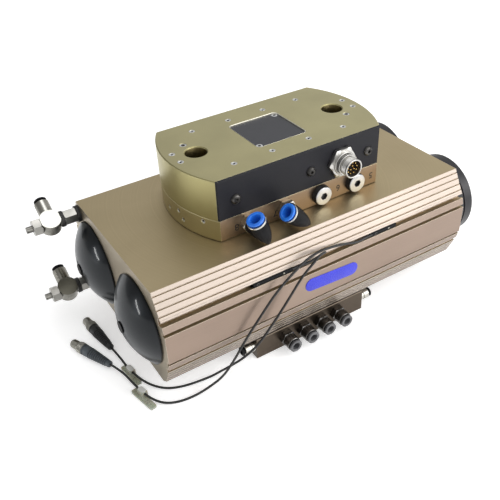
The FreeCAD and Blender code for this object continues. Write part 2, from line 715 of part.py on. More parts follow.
def top_plate():
    body = rounded_box(LID_SIDE, LID_SIDE, LID_THICKNESS, LID_CORNER_R)
    body.translate(V(0, 0, HEAD_TOP - LID_THICKNESS))
    body = chamfer_edges(body, 0.3, lambda edge: edge.BoundBox.ZMin > HEAD_TOP - 0.01)
    return cut_all(body, [lid_screw_cone(x, y, SEAT_FIT) for x, y in LID_SCREWS])


def top_plate_screws():
    screws = []
    for x, y in LID_SCREWS:
        shank = rod(LID_SCREW_R - SEAT_FIT, V(x, y, HEAD_TOP - HEAD_ROOF + 1.0), V(x, y, HEAD_TOP - 1.0))
        body = fused([lid_screw_cone(x, y, -SEAT_FIT), shank])
        screws.append(body.cut(hex_prism(1.8, V(x, y, HEAD_TOP - 1.1), V(x, y, HEAD_TOP + 1))))
    return group(screws)


def front_cover():
    body = head_slice(FRONT, FRONT + COVER_THICKNESS, PLATE_TOP, HEAD_TOP)
    body = chamfer_edges(body, HEAD_CHAMFER, lambda edge: edge.BoundBox.YMax < FRONT + 0.01
                         and edge.BoundBox.ZMin > PLATE_TOP + 0.01 and edge.BoundBox.XLength > 1.0)
    tools = [rod(CONNECTOR_TAIL_R + SEAT_FIT, V(CONNECTOR_X, FRONT - 1, COVER_Z), V(CONNECTOR_X, 0, COVER_Z))]
    for x in COVER_SCREWS_X:
        tools.append(rod(COVER_SCREW_R + SEAT_FIT, V(x, FRONT - 1, COVER_Z), V(x, 0, COVER_Z)))
    return cut_all(body, tools)


def cover_screws():
    screws = []
    for x in COVER_SCREWS_X:
        head = 2.2
        head_r = 4.2
        profile = [
            (0, head), (2.6, head), (3.6, head - 0.7), (head_r, 0.5), (head_r, 0),
            (COVER_SCREW_R - SEAT_FIT, 0),
            (COVER_SCREW_R - SEAT_FIT, -COVER_SCREW_LENGTH), (0, -COVER_SCREW_LENGTH),
        ]
        seat = V(x, FRONT, COVER_Z)
        screw = turned(profile, seat, -Y_AXIS)
        screws.append(screw.cut(hex_prism(2.5, seat - Y_AXIS * 0.8, seat - Y_AXIS * 3.0)))
    return group(screws)


# Connector. Distances along it run outward from the cover's face.

CONNECTOR_HEX = 24.0
CONNECTOR_HEX_LENGTH = 4.5
CONNECTOR_CUP_R = 6.9
CONNECTOR_FLOOR = 6.0
CONNECTOR_INSERT = 3.5
CONNECTOR_PIN = 3.4


def connector_shell():
    seat = V(CONNECTOR_X, FRONT, COVER_Z)
    barrel = turned([
        (0, -16.0), (CONNECTOR_TAIL_R, -16.0), (CONNECTOR_TAIL_R, CONNECTOR_HEX_LENGTH),
        (9.3, CONNECTOR_HEX_LENGTH), (9.3, 9.0), (CONNECTOR_THREAD_R, 9.0),
        (CONNECTOR_THREAD_R, CONNECTOR_LENGTH - 0.5), (CONNECTOR_THREAD_R - 0.5, CONNECTOR_LENGTH),
        (0, CONNECTOR_LENGTH),
    ], seat, -Y_AXIS)
    nut = hex_nut(CONNECTOR_HEX, seat, seat - Y_AXIS * CONNECTOR_HEX_LENGTH)
    cup = rod(CONNECTOR_CUP_R, seat - Y_AXIS * CONNECTOR_FLOOR, seat - Y_AXIS * (CONNECTOR_LENGTH + 1))
    return fused([barrel, nut]).cut(cup)


def connector_insert():
    seat = V(CONNECTOR_X, FRONT, COVER_Z)
    face = CONNECTOR_FLOOR + CONNECTOR_INSERT
    disc = rod(CONNECTOR_CUP_R - SEAT_FIT, seat - Y_AXIS * CONNECTOR_FLOOR, seat - Y_AXIS * face)
    key = box(CONNECTOR_X - 0.9, CONNECTOR_X + 0.9, FRONT - face - CONNECTOR_PIN, FRONT - face,
              COVER_Z - CONNECTOR_CUP_R + 0.3, COVER_Z - CONNECTOR_CUP_R + 1.5)
    pins = []
    for count, circle_r in ((9, 4.7), (3, 1.9)):
        for k in range(count):
            angle = math.pi / 2 + 2 * math.pi * k / count
            spot = polar(circle_r, angle)
            foot = V(CONNECTOR_X + spot.x, FRONT - face, COVER_Z + spot.y)
            pins.append(rod(0.5, foot + Y_AXIS, foot - Y_AXIS * CONNECTOR_PIN))
    return fused([disc, key] + pins)


# Screw plugs and elbows in the plate's ports

HEX_PLUG_R = 8.0
HEX_PLUG_SOCKET = 4.0
SEAL_THICKNESS = 2.0


def open_ports():
    return port_places()[2:]


def port_plugs():
    plugs = []
    for x in open_ports():
        seat = V(x, FRONT, PORT_Z)
        outer = SEAL_THICKNESS + 3.5
        profile = [
            (0, -PORT_DEPTH + 2.0), (PORT_R - RUNNING_FIT, -PORT_DEPTH + 2.0),
            (PORT_R - RUNNING_FIT, SEAL_THICKNESS),
            (HEX_PLUG_R, SEAL_THICKNESS), (HEX_PLUG_R, outer - 0.5), (HEX_PLUG_R - 0.5, outer), (0, outer),
        ]
        socket = hex_prism(6.0, seat - Y_AXIS * (outer - HEX_PLUG_SOCKET), seat - Y_AXIS * (outer + 1))
        plugs.append(turned(profile, seat, -Y_AXIS).cut(socket))
    return group(plugs)


def port_plug_seals():
    outer = HEX_PLUG_R - 0.4
    profile = [(PORT_R, 0), (outer, 0), (outer, SEAL_THICKNESS), (PORT_R, SEAL_THICKNESS)]
    return group([turned(profile, V(x, FRONT, PORT_Z), -Y_AXIS) for x in open_ports()])


ELBOWS = {"left": (port_places()[0], LEFT_ELBOW_TILT), "right": (port_places()[1], RIGHT_ELBOW_TILT)}
ELBOW_HEX = 14.0
ELBOW_HEX_LENGTH = 6.0
ELBOW_STEM_LENGTH = ELBOW_REACH - 2.0
ELBOW_SOCKET = (6.5, 13.0, 16.5)


def elbow_stems():
    stems = []
    for x, _tilt in ELBOWS.values():
        seat = V(x, FRONT, PORT_Z)
        shank = rod(PORT_R - RUNNING_FIT, seat + Y_AXIS * (PORT_DEPTH - 2.0), seat)
        nut = hex_nut(ELBOW_HEX, seat, seat - Y_AXIS * ELBOW_HEX_LENGTH)
        stem = rod(ELBOW_STEM_R, seat, seat - Y_AXIS * ELBOW_STEM_LENGTH)
        stems.append(fused([shank, nut, stem]))
    return group(stems)


def elbow_axis(name):
    """Centre of an elbow's body and the direction of its tube."""
    x, tilt = ELBOWS[name]
    return V(x, FRONT - ELBOW_REACH, PORT_Z), V(-math.sin(tilt), 0, math.cos(tilt))


def elbow(name):
    centre, axis = elbow_axis(name)
    bottom, mouth, end = ELBOW_SOCKET
    tail = (PORT_Z - HEIGHT - 0.4) / math.cos(LEFT_ELBOW_TILT)
    edges = [
        Part.Arc(V(0.8, 0, -tail), V(0.66 * ELBOW_R, 0, -0.52 * tail), V(ELBOW_R, 0, 3.0)).toShape(),
        Part.LineSegment(V(ELBOW_R, 0, 3.0), V(ELBOW_R, 0, mouth)).toShape(),
        Part.LineSegment(V(ELBOW_R, 0, mouth), V(0, 0, mouth)).toShape(),
        Part.LineSegment(V(0, 0, mouth), V(0, 0, -tail)).toShape(),
        Part.LineSegment(V(0, 0, -tail), V(0.8, 0, -tail)).toShape(),
    ]
    body = placed(Part.Face(Part.Wire(edges)).revolve(V(), Z_AXIS, 360), centre, axis)
    inner_face = centre + Y_AXIS * (ELBOW_REACH - ELBOW_HEX_LENGTH - FACE_GAP)
    boss = rod(ELBOW_R - 0.2, inner_face, centre)
    hole = rod(ELBOW_STEM_R + RUNNING_FIT, inner_face + Y_AXIS, centre + Y_AXIS * (2.0 - FACE_GAP))
    tube = rod(tube_bore(ELBOW_TUBE_R), centre + axis * bottom, centre + axis * end)
    sleeve = socket_sleeve(ELBOW_TUBE_R, ELBOW_R, 0.4, centre, axis, mouth, end)
    return group([cut_all(fused([body, boss]), [hole, tube]), sleeve])


def elbow_ring(name):
    centre, axis = elbow_axis(name)
    return release_ring(ELBOW_TUBE_R, ELBOW_R, 1.8, centre, axis, *ELBOW_SOCKET[1:])


# Distributor spindle, fixed in the manifold, with seals between its air channels

SPINDLE_FOOT = -14.0
SPINDLE_TOP = PLATE_TOP + 7.0
SPINDLE_GROOVE = 1.0
SPINDLE_GROOVE_DEPTH = 1.4
SPINDLE_GROOVES = 9


def spindle_groove_places():
    low = PLATE_BOTTOM + SPIGOT_HEIGHT
    step = (PLATE_TOP - low) / SPINDLE_GROOVES
    return [low + step * (k + 0.5) for k in range(SPINDLE_GROOVES)]


def distributor_spindle():
    body = rod(SPINDLE_R, V(0, 0, SPINDLE_FOOT), V(0, 0, SPINDLE_TOP))
    tools = []
    for z in spindle_groove_places():
        start, end = V(0, 0, z - SPINDLE_GROOVE / 2), V(0, 0, z + SPINDLE_GROOVE / 2)
        tools.append(rod(SPINDLE_R + 1, start, end).cut(rod(SPINDLE_R - SPINDLE_GROOVE_DEPTH, start, end)))
    return cut_all(body, tools)


def spindle_seals():
    inner, outer = SPINDLE_R - SPINDLE_GROOVE_DEPTH, SPINDLE_R + RUNNING_FIT - SEAT_FIT
    half = SPINDLE_GROOVE / 2 - SEAT_FIT
    return group([
        turned([(inner, -half), (outer, -half), (outer, half), (inner, half)], V(0, 0, z), Z_AXIS)
        for z in spindle_groove_places()[::2]
    ])


# Manifold with its fittings

MANIFOLD_LEFT = MANIFOLD_X - MANIFOLD_LENGTH / 2
MANIFOLD_RIGHT = MANIFOLD_X + MANIFOLD_LENGTH / 2
FITTING_SHANK_R = 4.9
FITTING_SHANK = 8.0
FITTING_HEX = 13.0
FITTING_BODY_R = 6.3
FITTING_SOCKET = (0.8, 8.5, 12.5)
END_FITTING_Y = -70.0
END_FITTING_R = 4.75
END_SHANK_R = 3.4
END_SHANK = 6.0
END_SOCKET = (1.0, 7.0, 9.5)
SCREW_HEAD_R = 5.0
SCREW_HEAD = 6.0


def manifold_ports():
    places = [MANIFOLD_X + MANIFOLD_PORT_PITCH * k for k in (-1.5, -0.5, 0.5, 1.5)]
    return [V(x, -MANIFOLD_FRONT, FITTING_Z) for x in places]


def end_ports():
    return {
        "left": (V(MANIFOLD_LEFT, END_FITTING_Y, FITTING_Z), -X_AXIS),
        "right": (V(MANIFOLD_RIGHT, END_FITTING_Y, FITTING_Z), X_AXIS),
    }


def manifold_block():
    body = box(MANIFOLD_LEFT, MANIFOLD_RIGHT, -MANIFOLD_FRONT, MANIFOLD_BACK, FLOOR, 0)
    body = chamfer_edges(body, 0.6, lambda edge: edge.BoundBox.YMax < 0.01 - MANIFOLD_FRONT)
    boss_top = LOWER_SEAT - LOWER_BEARING_HEIGHT
    boss = turned([
        (LOWER_BEARING_R - 3.0, -1), (LOWER_BEARING_R - 0.1, -1), (LOWER_BEARING_R - 0.1, boss_top),
        (LOWER_BEARING_R - 3.0, boss_top),
    ], V(), Z_AXIS)
    tools = [rod(SPINDLE_R + SEAT_FIT, V(0, 0, SPINDLE_FOOT), V(0, 0, 1))]
    for port in manifold_ports():
        tools.append(rod(FITTING_SHANK_R + SEAT_FIT, port - Y_AXIS, port + Y_AXIS * FITTING_SHANK))
    for port, outward in end_ports().values():
        tools.append(rod(END_SHANK_R + SEAT_FIT, port + outward, port - outward * END_SHANK))
    for x, y in manifold_screw_places():
        tools.append(rod(MANIFOLD_SCREW_R, V(x, y, FLOOR), V(x, y, 1)))
        tools.append(rod(SCREW_HEAD_R + FACE_GAP, V(x, y, FLOOR - 1), V(x, y, FLOOR + SCREW_HEAD + 0.5)))
    return cut_all(fused([body, boss]), tools)


def manifold_screws():
    screws = []
    for x, y in manifold_screw_places():
        seat = V(x, y, FLOOR + SCREW_HEAD + 0.5)
        head = rod(SCREW_HEAD_R, seat - Z_AXIS * SCREW_HEAD, seat)
        shank = rod(MANIFOLD_SCREW_R - SEAT_FIT, seat, V(x, y, MANIFOLD_SCREW_TOP - 0.5))
        socket = hex_prism(5.0, seat - Z_AXIS * (SCREW_HEAD + 1), seat - Z_AXIS * (SCREW_HEAD - 3.0))
        screws.append(fused([head, shank]).cut(socket))
    return group(screws)


def manifold_fittings():
    fittings = []
    for port in manifold_ports():
        end = FITTING_SOCKET[2]
        shank = rod(FITTING_SHANK_R, port + Y_AXIS * (FITTING_SHANK - 0.5), port)
        nut = hex_nut(FITTING_HEX, port, port - Y_AXIS * 5.0)
        barrel = turned([
            (0, 0), (FITTING_BODY_R, 0), (FITTING_BODY_R, end - 0.4), (FITTING_BODY_R - 0.4, end), (0, end),
        ], port, -Y_AXIS)
        socket = socket_tools(MANIFOLD_TUBE_R, port, -Y_AXIS, *FITTING_SOCKET)
        fittings.append(cut_all(fused([shank, nut, barrel]), socket))
    return group(fittings)


def manifold_ring(port):
    return release_ring(MANIFOLD_TUBE_R, FITTING_BODY_R - 0.5, 1.8, port, -Y_AXIS, *FITTING_SOCKET[1:])


def manifold_end_fittings():
    fittings = []
    for port, outward in end_ports().values():
        end = END_SOCKET[2]
        body = turned([
            (0, -END_SHANK + 0.5), (END_SHANK_R, -END_SHANK + 0.5), (END_SHANK_R, 0), (END_FITTING_R, 0),
            (END_FITTING_R, 3.0), (END_FITTING_R - 0.6, 3.0), (END_FITTING_R - 0.6, 4.0),
            (END_FITTING_R, 4.0),
            (END_FITTING_R, end - 0.4), (END_FITTING_R - 0.4, end), (0, end),
        ], port, outward)
        fittings.append(cut_all(body, socket_tools(END_TUBE_R, port, outward, *END_SOCKET)))
    return group(fittings)


def end_ring(name):
    port, outward = end_ports()[name]
    return release_ring(END_TUBE_R, END_FITTING_R - 0.5, 1.5, port, outward, *END_SOCKET[1:])


# Flow-control valves. Distances along a valve run outward from the housing's left end.

VALVE_SEAL = 3.0
VALVE_ADAPTOR_END = 14.0
VALVE_WASHER_END = 17.0
VALVE_HEAD_START = VALVE_WASHER_END + 2 * VALVE_BODY_R - 1.0
VALVE_HEAD_END = VALVE_HEAD_START + 7.0
VALVE_BODY_MIDDLE = (VALVE_WASHER_END + VALVE_HEAD_START) / 2
VALVE_BOLT_R = 3.5
VALVE_BODY_HEIGHT = 13.0
VALVE_SOCKET = (8.0, 17.0, VALVE_STUB)
VALVE_OUTLET = V(0, 0.88, 0.475)
VALVE_OUTLET.normalize()
ADJUSTER_R = 2.8
ADJUSTER_HOLE = 5.5


def valve_point(z, along):
    return V(-HALF_LENGTH - along, VALVE_Y, z)


def valve_stem(z):
    """Screwed-in adaptor, and the hollow bolt that the valve body turns on."""
    root = VALVE_SHANK_R - RUNNING_FIT
    shank = rod(root, valve_point(z, -VALVE_PORT_DEPTH + 1.0), valve_point(z, VALVE_SEAL))
    nut = hex_nut(12.0, valve_point(z, VALVE_SEAL), valve_point(z, VALVE_ADAPTOR_END))
    bolt_foot = valve_point(z, VALVE_SEAL + 1.0)
    bolt_hole = rod(VALVE_BOLT_R + SEAT_FIT, bolt_foot, valve_point(z, VALVE_HEAD_START))
    adaptor = fused([shank, nut]).cut(bolt_hole)
    thread = rod(VALVE_BOLT_R, bolt_foot, valve_point(z, VALVE_ADAPTOR_END))
    bearing_shank = rod(VALVE_SHANK_R, valve_point(z, VALVE_ADAPTOR_END), valve_point(z, VALVE_HEAD_START))
    head = hex_nut(13.0, valve_point(z, VALVE_HEAD_START), valve_point(z, VALVE_HEAD_END))
    hole_floor = valve_point(z, VALVE_HEAD_END - ADJUSTER_HOLE)
    hole = rod(ADJUSTER_R + RUNNING_FIT, hole_floor, valve_point(z, VALVE_HEAD_END + 1))
    return [adaptor, fused([thread, bearing_shank, head]).cut(hole)]


def valve_washer_pair(z):
    seal = turned([
        (VALVE_SHANK_R, 0), (VALVE_SEAL_R, 0), (VALVE_SEAL_R, VALVE_SEAL), (VALVE_SHANK_R, VALVE_SEAL),
    ], valve_point(z, 0), -X_AXIS)
    washer = turned([
        (VALVE_SHANK_R + SEAT_FIT, VALVE_ADAPTOR_END), (7.0, VALVE_ADAPTOR_END), (7.0, VALVE_WASHER_END),
        (VALVE_SHANK_R + SEAT_FIT, VALVE_WASHER_END),
    ], valve_point(z, 0), -X_AXIS)
    return [seal, washer]


def valve_body(z):
    centre = valve_point(z, VALVE_BODY_MIDDLE)
    upright = X_AXIS.cross(VALVE_OUTLET)
    half = VALVE_BODY_HEIGHT / 2
    drum = rod(VALVE_BODY_R, centre - upright * half, centre + upright * half)
    width = VALVE_BODY_R - 0.7
    reach = VALVE_BODY_R + VALVE_STUB
    flats = box(centre.x - width, centre.x + width, centre.y - reach, centre.y + reach,
                centre.z - reach, centre.z + reach)
    bottom, mouth, end = VALVE_SOCKET
    stub_r = half - 0.25
    stub = rod(stub_r, centre, centre + VALVE_OUTLET * mouth)
    hole = rod(VALVE_SHANK_R + RUNNING_FIT, centre - X_AXIS * 20, centre + X_AXIS * 20)
    tube = rod(tube_bore(VALVE_TUBE_R), centre + VALVE_OUTLET * bottom, centre + VALVE_OUTLET * end)
    sleeve = socket_sleeve(VALVE_TUBE_R, stub_r, 0.5, centre, VALVE_OUTLET, mouth, end)
    return group([cut_all(fused([drum.common(flats), stub]), [hole, tube]), sleeve])


def valve_ring(z):
    centre = valve_point(z, VALVE_BODY_MIDDLE)
    flange_r = VALVE_BODY_HEIGHT / 2 - 1.0
    return release_ring(VALVE_TUBE_R, flange_r, 1.8, centre, VALVE_OUTLET, *VALVE_SOCKET[1:])


def valve_adjuster(z):
    foot = valve_point(z, VALVE_HEAD_END - ADJUSTER_HOLE + FACE_GAP)
    end = valve_point(z, VALVE_HEAD_END + ADJUSTER_HOLE)
    slot = box(end.x - 1.0, end.x + 1.2, end.y - 5, end.y + 5, end.z - 0.45, end.z + 0.45)
    return rod(ADJUSTER_R, foot, end).cut(slot)


# Magnetic sensors in the front slot

def sensors():
    bodies = []
    mouth = SLOT_MOUTH / 2 - 0.1
    inside = SLOT_INSIDE / 2 - 0.1
    lip = SLOT_FACE - SLOT_LIP
    for x0, x1 in SENSOR_SPANS.values():
        outer = box(x0, x1, -SLOT_FACE, -lip + 0.5, SLOT_Z - mouth, SLOT_Z + mouth)
        inner = box(x0, x1, -lip + 0.1, -lip + SLOT_DEPTH - SLOT_LIP - 0.1, SLOT_Z - inside, SLOT_Z + inside)
        bodies.append(fused([outer, inner]))
    return group(bodies)


# Sensor cables. Each route is straight runs joined by tangent arcs.

SLOT_CABLE_Y = -SLOT_FACE + CABLE_R - 0.4
FLOOR_CABLE = FLOOR + CABLE_R
PLUG_Z = FLOOR + 5.3

CABLE_POINTS = {
    "right": [
        V(SENSOR_SPANS["right"][0], SLOT_CABLE_Y, SLOT_Z), V(37, SLOT_CABLE_Y, SLOT_Z), V(28, -89.3, 70.6),
        V(12, -89.2, 75.2), V(-8, -89, 78.3), V(-24, -92, 79), V(-41, -94.3, 72.2), V(-57, -95.3, 61.8),
        V(-72, -96, 46), V(-86, -95.5, 29), V(-97, -93.5, 10), V(-105.5, -89, -7), V(-115, -83.5, -17.5),
        V(-128, -83, FLOOR_CABLE), V(-143, -81.5, FLOOR_CABLE), V(-154.5, -76.5, -19.6), V(-162, -67, -17.4),
        V(-166.5, -48, -17), V(-169.05, -28.3, PLUG_Z), V(-174.2, -15.3, PLUG_Z),
    ],
    "left": [
        V(SENSOR_SPANS["left"][1], SLOT_CABLE_Y, SLOT_Z), V(-29.5, SLOT_CABLE_Y, SLOT_Z), V(-20, -88, 70.3),
        V(-10.8, -89.6, 74.2), V(-8.9, -93.3, 78.7), V(-12, -97.2, 82.4), V(-18, -98.5, 83.1),
        V(-23.7, -98.8, 78.4), V(-34.2, -98, 69.2), V(-45.8, -97, 52.1), V(-62.8, -95.5, 29.2),
        V(-76, -94.5, 14.3), V(-86.7, -89.5, 2.8), V(-94.9, -83, -6.3), V(-100.8, -76, -15),
        V(-108, -71.9, FLOOR_CABLE), V(-122, -70.5, FLOOR_CABLE), V(-133.8, -68.1, FLOOR_CABLE),
        V(-144.3, -63.5, FLOOR_CABLE), V(-152.3, -56.3, -19.5), V(-158.2, -48.1, -17.4),
        V(-161.5, -36, -17.1), V(-163.4, -24, -17), V(-164.1, -10.4, PLUG_Z), V(-165.7, 3.5, PLUG_Z),
    ],
}


def cable(points):
    """Round cable along a route, with a tangent arc at each corner."""
    edges = []
    start = points[0]
    for before, corner, after in zip(points, points[1:], points[2:]):
        back, on = before - corner, after - corner
        setback = 0.45 * min(back.Length, on.Length)
        half_turn = (math.pi - back.getAngle(on)) / 2
        bend_r = setback / math.tan(half_turn)
        inward = (V(back).normalize() + V(on).normalize()).normalize()
        enter = corner + V(back).normalize() * setback
        leave = corner + V(on).normalize() * setback
        crown = corner + inward * (bend_r / math.cos(half_turn) - bend_r)
        edges.append(Part.LineSegment(start, enter).toShape())
        edges.append(Part.Arc(enter, crown, leave).toShape())
        print("bend radius %.1f, turn %.0f degrees" % (bend_r, math.degrees(2 * half_turn)))
        start = leave
    edges.append(Part.LineSegment(start, points[-1]).toShape())
    route = Part.Wire(edges)
    circle = Part.Wire(Part.Circle(points[0], points[1] - points[0], CABLE_R).toShape())
    tube = route.makePipeShell([circle], True, False)
    print("cable length %.1f, volume against section times length %.4f"
          % (route.Length, tube.Volume / (math.pi * CABLE_R ** 2 * route.Length)))
    return tube


# Cable plugs. Distances along a plug run from its cable end.

PLUG_CORE_R = 3.05
PLUG_NUT_R = 5.2
PLUG_NUT_THREAD_R = 4.0
PLUG_NUT = (PLUG_GRIP + 0.4, PLUG_GRIP + 6.4, PLUG_GRIP + 14.4)


def plug_axis(name):
    """Cable end of a plug and the direction in which its cable runs into it."""
    before, entry = CABLE_POINTS[name][-2:]
    return entry, (entry - before).normalize()


def cable_plug(name):
    profile = [(0, 0), (2.4, 0), (3.1, 7.0), (3.9, 7.6), (4.1, 10.0)]
    ribs = 6
    for k in range(ribs):
        along = 11.0 + 3.0 * k
        radius = 4.0 + 0.12 * k
        crest = radius + 0.4
        profile += [(radius, along), (crest, along + 0.6), (crest, along + 2.0), (radius, along + 2.6)]
    profile += [
        (5.0, PLUG_GRIP - 2.6), (5.0, PLUG_GRIP), (PLUG_CORE_R, PLUG_GRIP), (PLUG_CORE_R, PLUG_NUT[2] + 0.4),
        (0, PLUG_NUT[2] + 0.4),
    ]
    return turned(profile, *plug_axis(name))


def plug_nut(name):
    inner = PLUG_CORE_R + RUNNING_FIT
    start, step, end = PLUG_NUT
    profile = [
        (inner, start), (PLUG_NUT_R - 0.3, start), (PLUG_NUT_R, start + 0.3), (PLUG_NUT_R, step - 0.3),
        (PLUG_NUT_R - 0.3, step), (PLUG_NUT_THREAD_R, step), (PLUG_NUT_THREAD_R, end - 0.4),
        (PLUG_NUT_THREAD_R - 0.4, end), (inner, end),
    ]
    return turned(profile, *plug_axis(name))


# Marker clips: a plate lying on the floor and a clasp that holds the cable

CLIP_PLATES = {"right": (V(-168.5, -49.4, FLOOR), V(-162.7, -75.8, FLOOR)),
               "left": (V(-164.9, -20.1, FLOOR), V(-161.9, -45.5, FLOOR))}
CLIP_WIDTH = 5.6
CLIP_THICKNESS = 2.6
CLIP_CORNER_R = 1.0
CLASP_LENGTH = 7.0
CLASP_WALL = 1.6


def clipped_run(name):
    """Run of a cable that passes nearest to the middle of its clip's plate."""
    start, end = CLIP_PLATES[name]
    plate_middle = (start + end) * 0.5
    runs = zip(CABLE_POINTS[name], CABLE_POINTS[name][1:])
    return min(runs, key=lambda run: ((run[0] + run[1]) * 0.5 - plate_middle).Length)


def cable_clips():
    clips = []
    for name, (start, end) in CLIP_PLATES.items():
        along = end - start
        plate = rounded_box(CLIP_WIDTH, along.Length, CLIP_THICKNESS, CLIP_CORNER_R)
        plate.Placement = FreeCAD.Placement((start + end) * 0.5, FreeCAD.Rotation(Y_AXIS, along))
        run_start, run_end = clipped_run(name)
        middle = (run_start + run_end) * 0.5
        run = (run_end - run_start).normalize()
        height = middle.z + CABLE_R + CLASP_WALL - FLOOR
        clasp = box(-CLIP_WIDTH / 2, CLIP_WIDTH / 2, -CLASP_LENGTH / 2, CLASP_LENGTH / 2, 0, height)
        ridges = [edge for edge in clasp.Edges if edge.BoundBox.ZMin > 1 and edge.BoundBox.YLength > 1]
        clasp = clasp.makeFillet(CLASP_WALL, ridges)
        clasp.Placement = FreeCAD.Placement(V(middle.x, middle.y, FLOOR),
                                            FreeCAD.Rotation(Y_AXIS, V(run.x, run.y, 0)))
        hole = rod(CABLE_R + 0.25, middle - run * CLASP_LENGTH, middle + run * CLASP_LENGTH)
        clips.append(fused([plate, clasp]).cut(hole))
    return group(clips)


# Nodes

upper_top = UPPER_SEAT + UPPER_BEARING_HEIGHT
lower_bottom = LOWER_SEAT - LOWER_BEARING_HEIGHT
upper_outer, upper_inner = bearing(UPPER_JOURNAL_R, UPPER_BEARING_R, UPPER_SEAT, upper_top)
lower_outer, lower_inner = bearing(LOWER_JOURNAL_R, LOWER_BEARING_R, lower_bottom, LOWER_SEAT)
valve_heights = valve_places()
upper_valve_z, lower_valve_z = valve_heights["upper"], valve_heights["lower"]

nodes = {
    "housing": housing(),
    "bearing_outer_rings": group([upper_outer, lower_outer]),
    "bearing_inner_rings": group([upper_inner, lower_inner]),
    "pinion": pinion(),
    "front_rack": rack(-1),
    "rear_rack": rack(1),
    "front_rack_seals": rack_seals(-1),
    "rear_rack_seals": rack_seals(1),
    "left_end_plugs": left_end_plugs(),
    "shock_absorbers": shock_absorbers(),
    "front_dome_cap": dome_cap(-1),
    "rear_dome_cap": dome_cap(1),
    "front_flat_cap": flat_cap(-1),
    "rear_flat_cap": flat_cap(1),
    "distributor_plate": distributor_plate(),
    "plate_plugs": plate_plugs(),
    "head_block": head_block(),
    "head_screws": head_screws(),
    "head_dowels": head_dowels(),
    "top_plate": top_plate(),
    "top_plate_screws": top_plate_screws(),
    "front_cover": front_cover(),
    "cover_screws": cover_screws(),
    "connector_shell": connector_shell(),
    "connector_insert": connector_insert(),
    "port_plugs": port_plugs(),
    "port_plug_seals": port_plug_seals(),
    "elbow_stems": elbow_stems(),
    "distributor_spindle": distributor_spindle(),
    "spindle_seals": spindle_seals(),
    "manifold_block": manifold_block(),
    "manifold_screws": manifold_screws(),
    "manifold_fittings": manifold_fittings(),
    "manifold_end_fittings": manifold_end_fittings(),
    "valve_stems": group(valve_stem(upper_valve_z) + valve_stem(lower_valve_z)),
    "valve_washers": group(valve_washer_pair(upper_valve_z) + valve_washer_pair(lower_valve_z)),
    "magnetic_sensors": sensors(),
    "cable_clips": cable_clips(),
}
for side_name in ("left", "right"):
    nodes[side_name + "_elbow"] = elbow(side_name)
    nodes[side_name + "_elbow_ring"] = elbow_ring(side_name)
    nodes[side_name + "_end_ring"] = end_ring(side_name)
    nodes[side_name + "_sensor_cable"] = cable(CABLE_POINTS[side_name])
    nodes[side_name + "_cable_plug"] = cable_plug(side_name)
    nodes[side_name + "_plug_nut"] = plug_nut(side_name)
for level, height in valve_heights.items():
    nodes[level + "_valve_body"] = valve_body(height)
    nodes[level + "_valve_ring"] = valve_ring(height)
    nodes[level + "_valve_adjuster"] = valve_adjuster(height)
for number, port in enumerate(manifold_ports(), 1):
    nodes["manifold_ring_%d" % number] = manifold_ring(port)

os.makedirs("parts", exist_ok=True)
for name, shape in nodes.items():
    shape.exportStep("parts/" + name + ".step")
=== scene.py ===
"""Looks of a pneumatic swivel unit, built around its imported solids. Metres, +Z up."""

import json
import math

import bmesh
import bpy
from mathutils import Matrix, Quaternion, Vector


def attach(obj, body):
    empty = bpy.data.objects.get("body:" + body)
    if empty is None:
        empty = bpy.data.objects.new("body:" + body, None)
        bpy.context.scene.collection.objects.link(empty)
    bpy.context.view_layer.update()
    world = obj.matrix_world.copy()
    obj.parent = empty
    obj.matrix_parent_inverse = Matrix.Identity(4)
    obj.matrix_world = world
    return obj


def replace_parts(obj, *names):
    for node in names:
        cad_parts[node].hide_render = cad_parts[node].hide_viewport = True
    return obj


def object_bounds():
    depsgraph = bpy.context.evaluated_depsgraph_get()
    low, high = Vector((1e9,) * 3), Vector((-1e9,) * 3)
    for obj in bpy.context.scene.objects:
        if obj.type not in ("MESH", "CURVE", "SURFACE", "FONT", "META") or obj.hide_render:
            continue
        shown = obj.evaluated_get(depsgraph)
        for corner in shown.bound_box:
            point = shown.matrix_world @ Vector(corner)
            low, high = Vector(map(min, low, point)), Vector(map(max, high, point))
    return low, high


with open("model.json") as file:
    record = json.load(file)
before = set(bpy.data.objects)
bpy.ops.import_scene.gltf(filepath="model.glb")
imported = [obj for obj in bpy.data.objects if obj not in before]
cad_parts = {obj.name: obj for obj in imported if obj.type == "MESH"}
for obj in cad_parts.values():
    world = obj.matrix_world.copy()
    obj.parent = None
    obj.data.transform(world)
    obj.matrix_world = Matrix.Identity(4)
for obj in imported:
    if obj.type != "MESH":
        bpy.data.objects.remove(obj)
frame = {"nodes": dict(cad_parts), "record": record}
cad_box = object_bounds()
NODES = frame["nodes"]
MM = 0.001
OUTWARD = Vector((0, -1, 0))
UPWARD = Vector((0, 0, 1))

# Places on the solids, in mm
FRONT_FACE = -51.0
HEAD_TOP = 145.5
HEAD_R = 92.7
PLATE_BOTTOM = 92.6
PORT_Z = 101.8
PORT_PITCH = 35.0


# Camera and light

CAMERA_PLACE = Vector((-0.2726, -0.4255, 0.3920))
CAMERA_FORWARD = Vector((0.40907, 0.69548, -0.59074))
CAMERA_ROLL = math.radians(-2.93)
CAMERA_LENS = 48.09
SENSOR_WIDTH = 36.0
OBJECT_MIDDLE = Vector((0.0, 0.0, 0.06))
BRIGHT_SIDE = (0.69, -0.63, 0.35)
ROOM_LEVELS = {"From Min": -0.8, "From Max": 0.9, "To Min": 0.28, "To Max": 1.0}

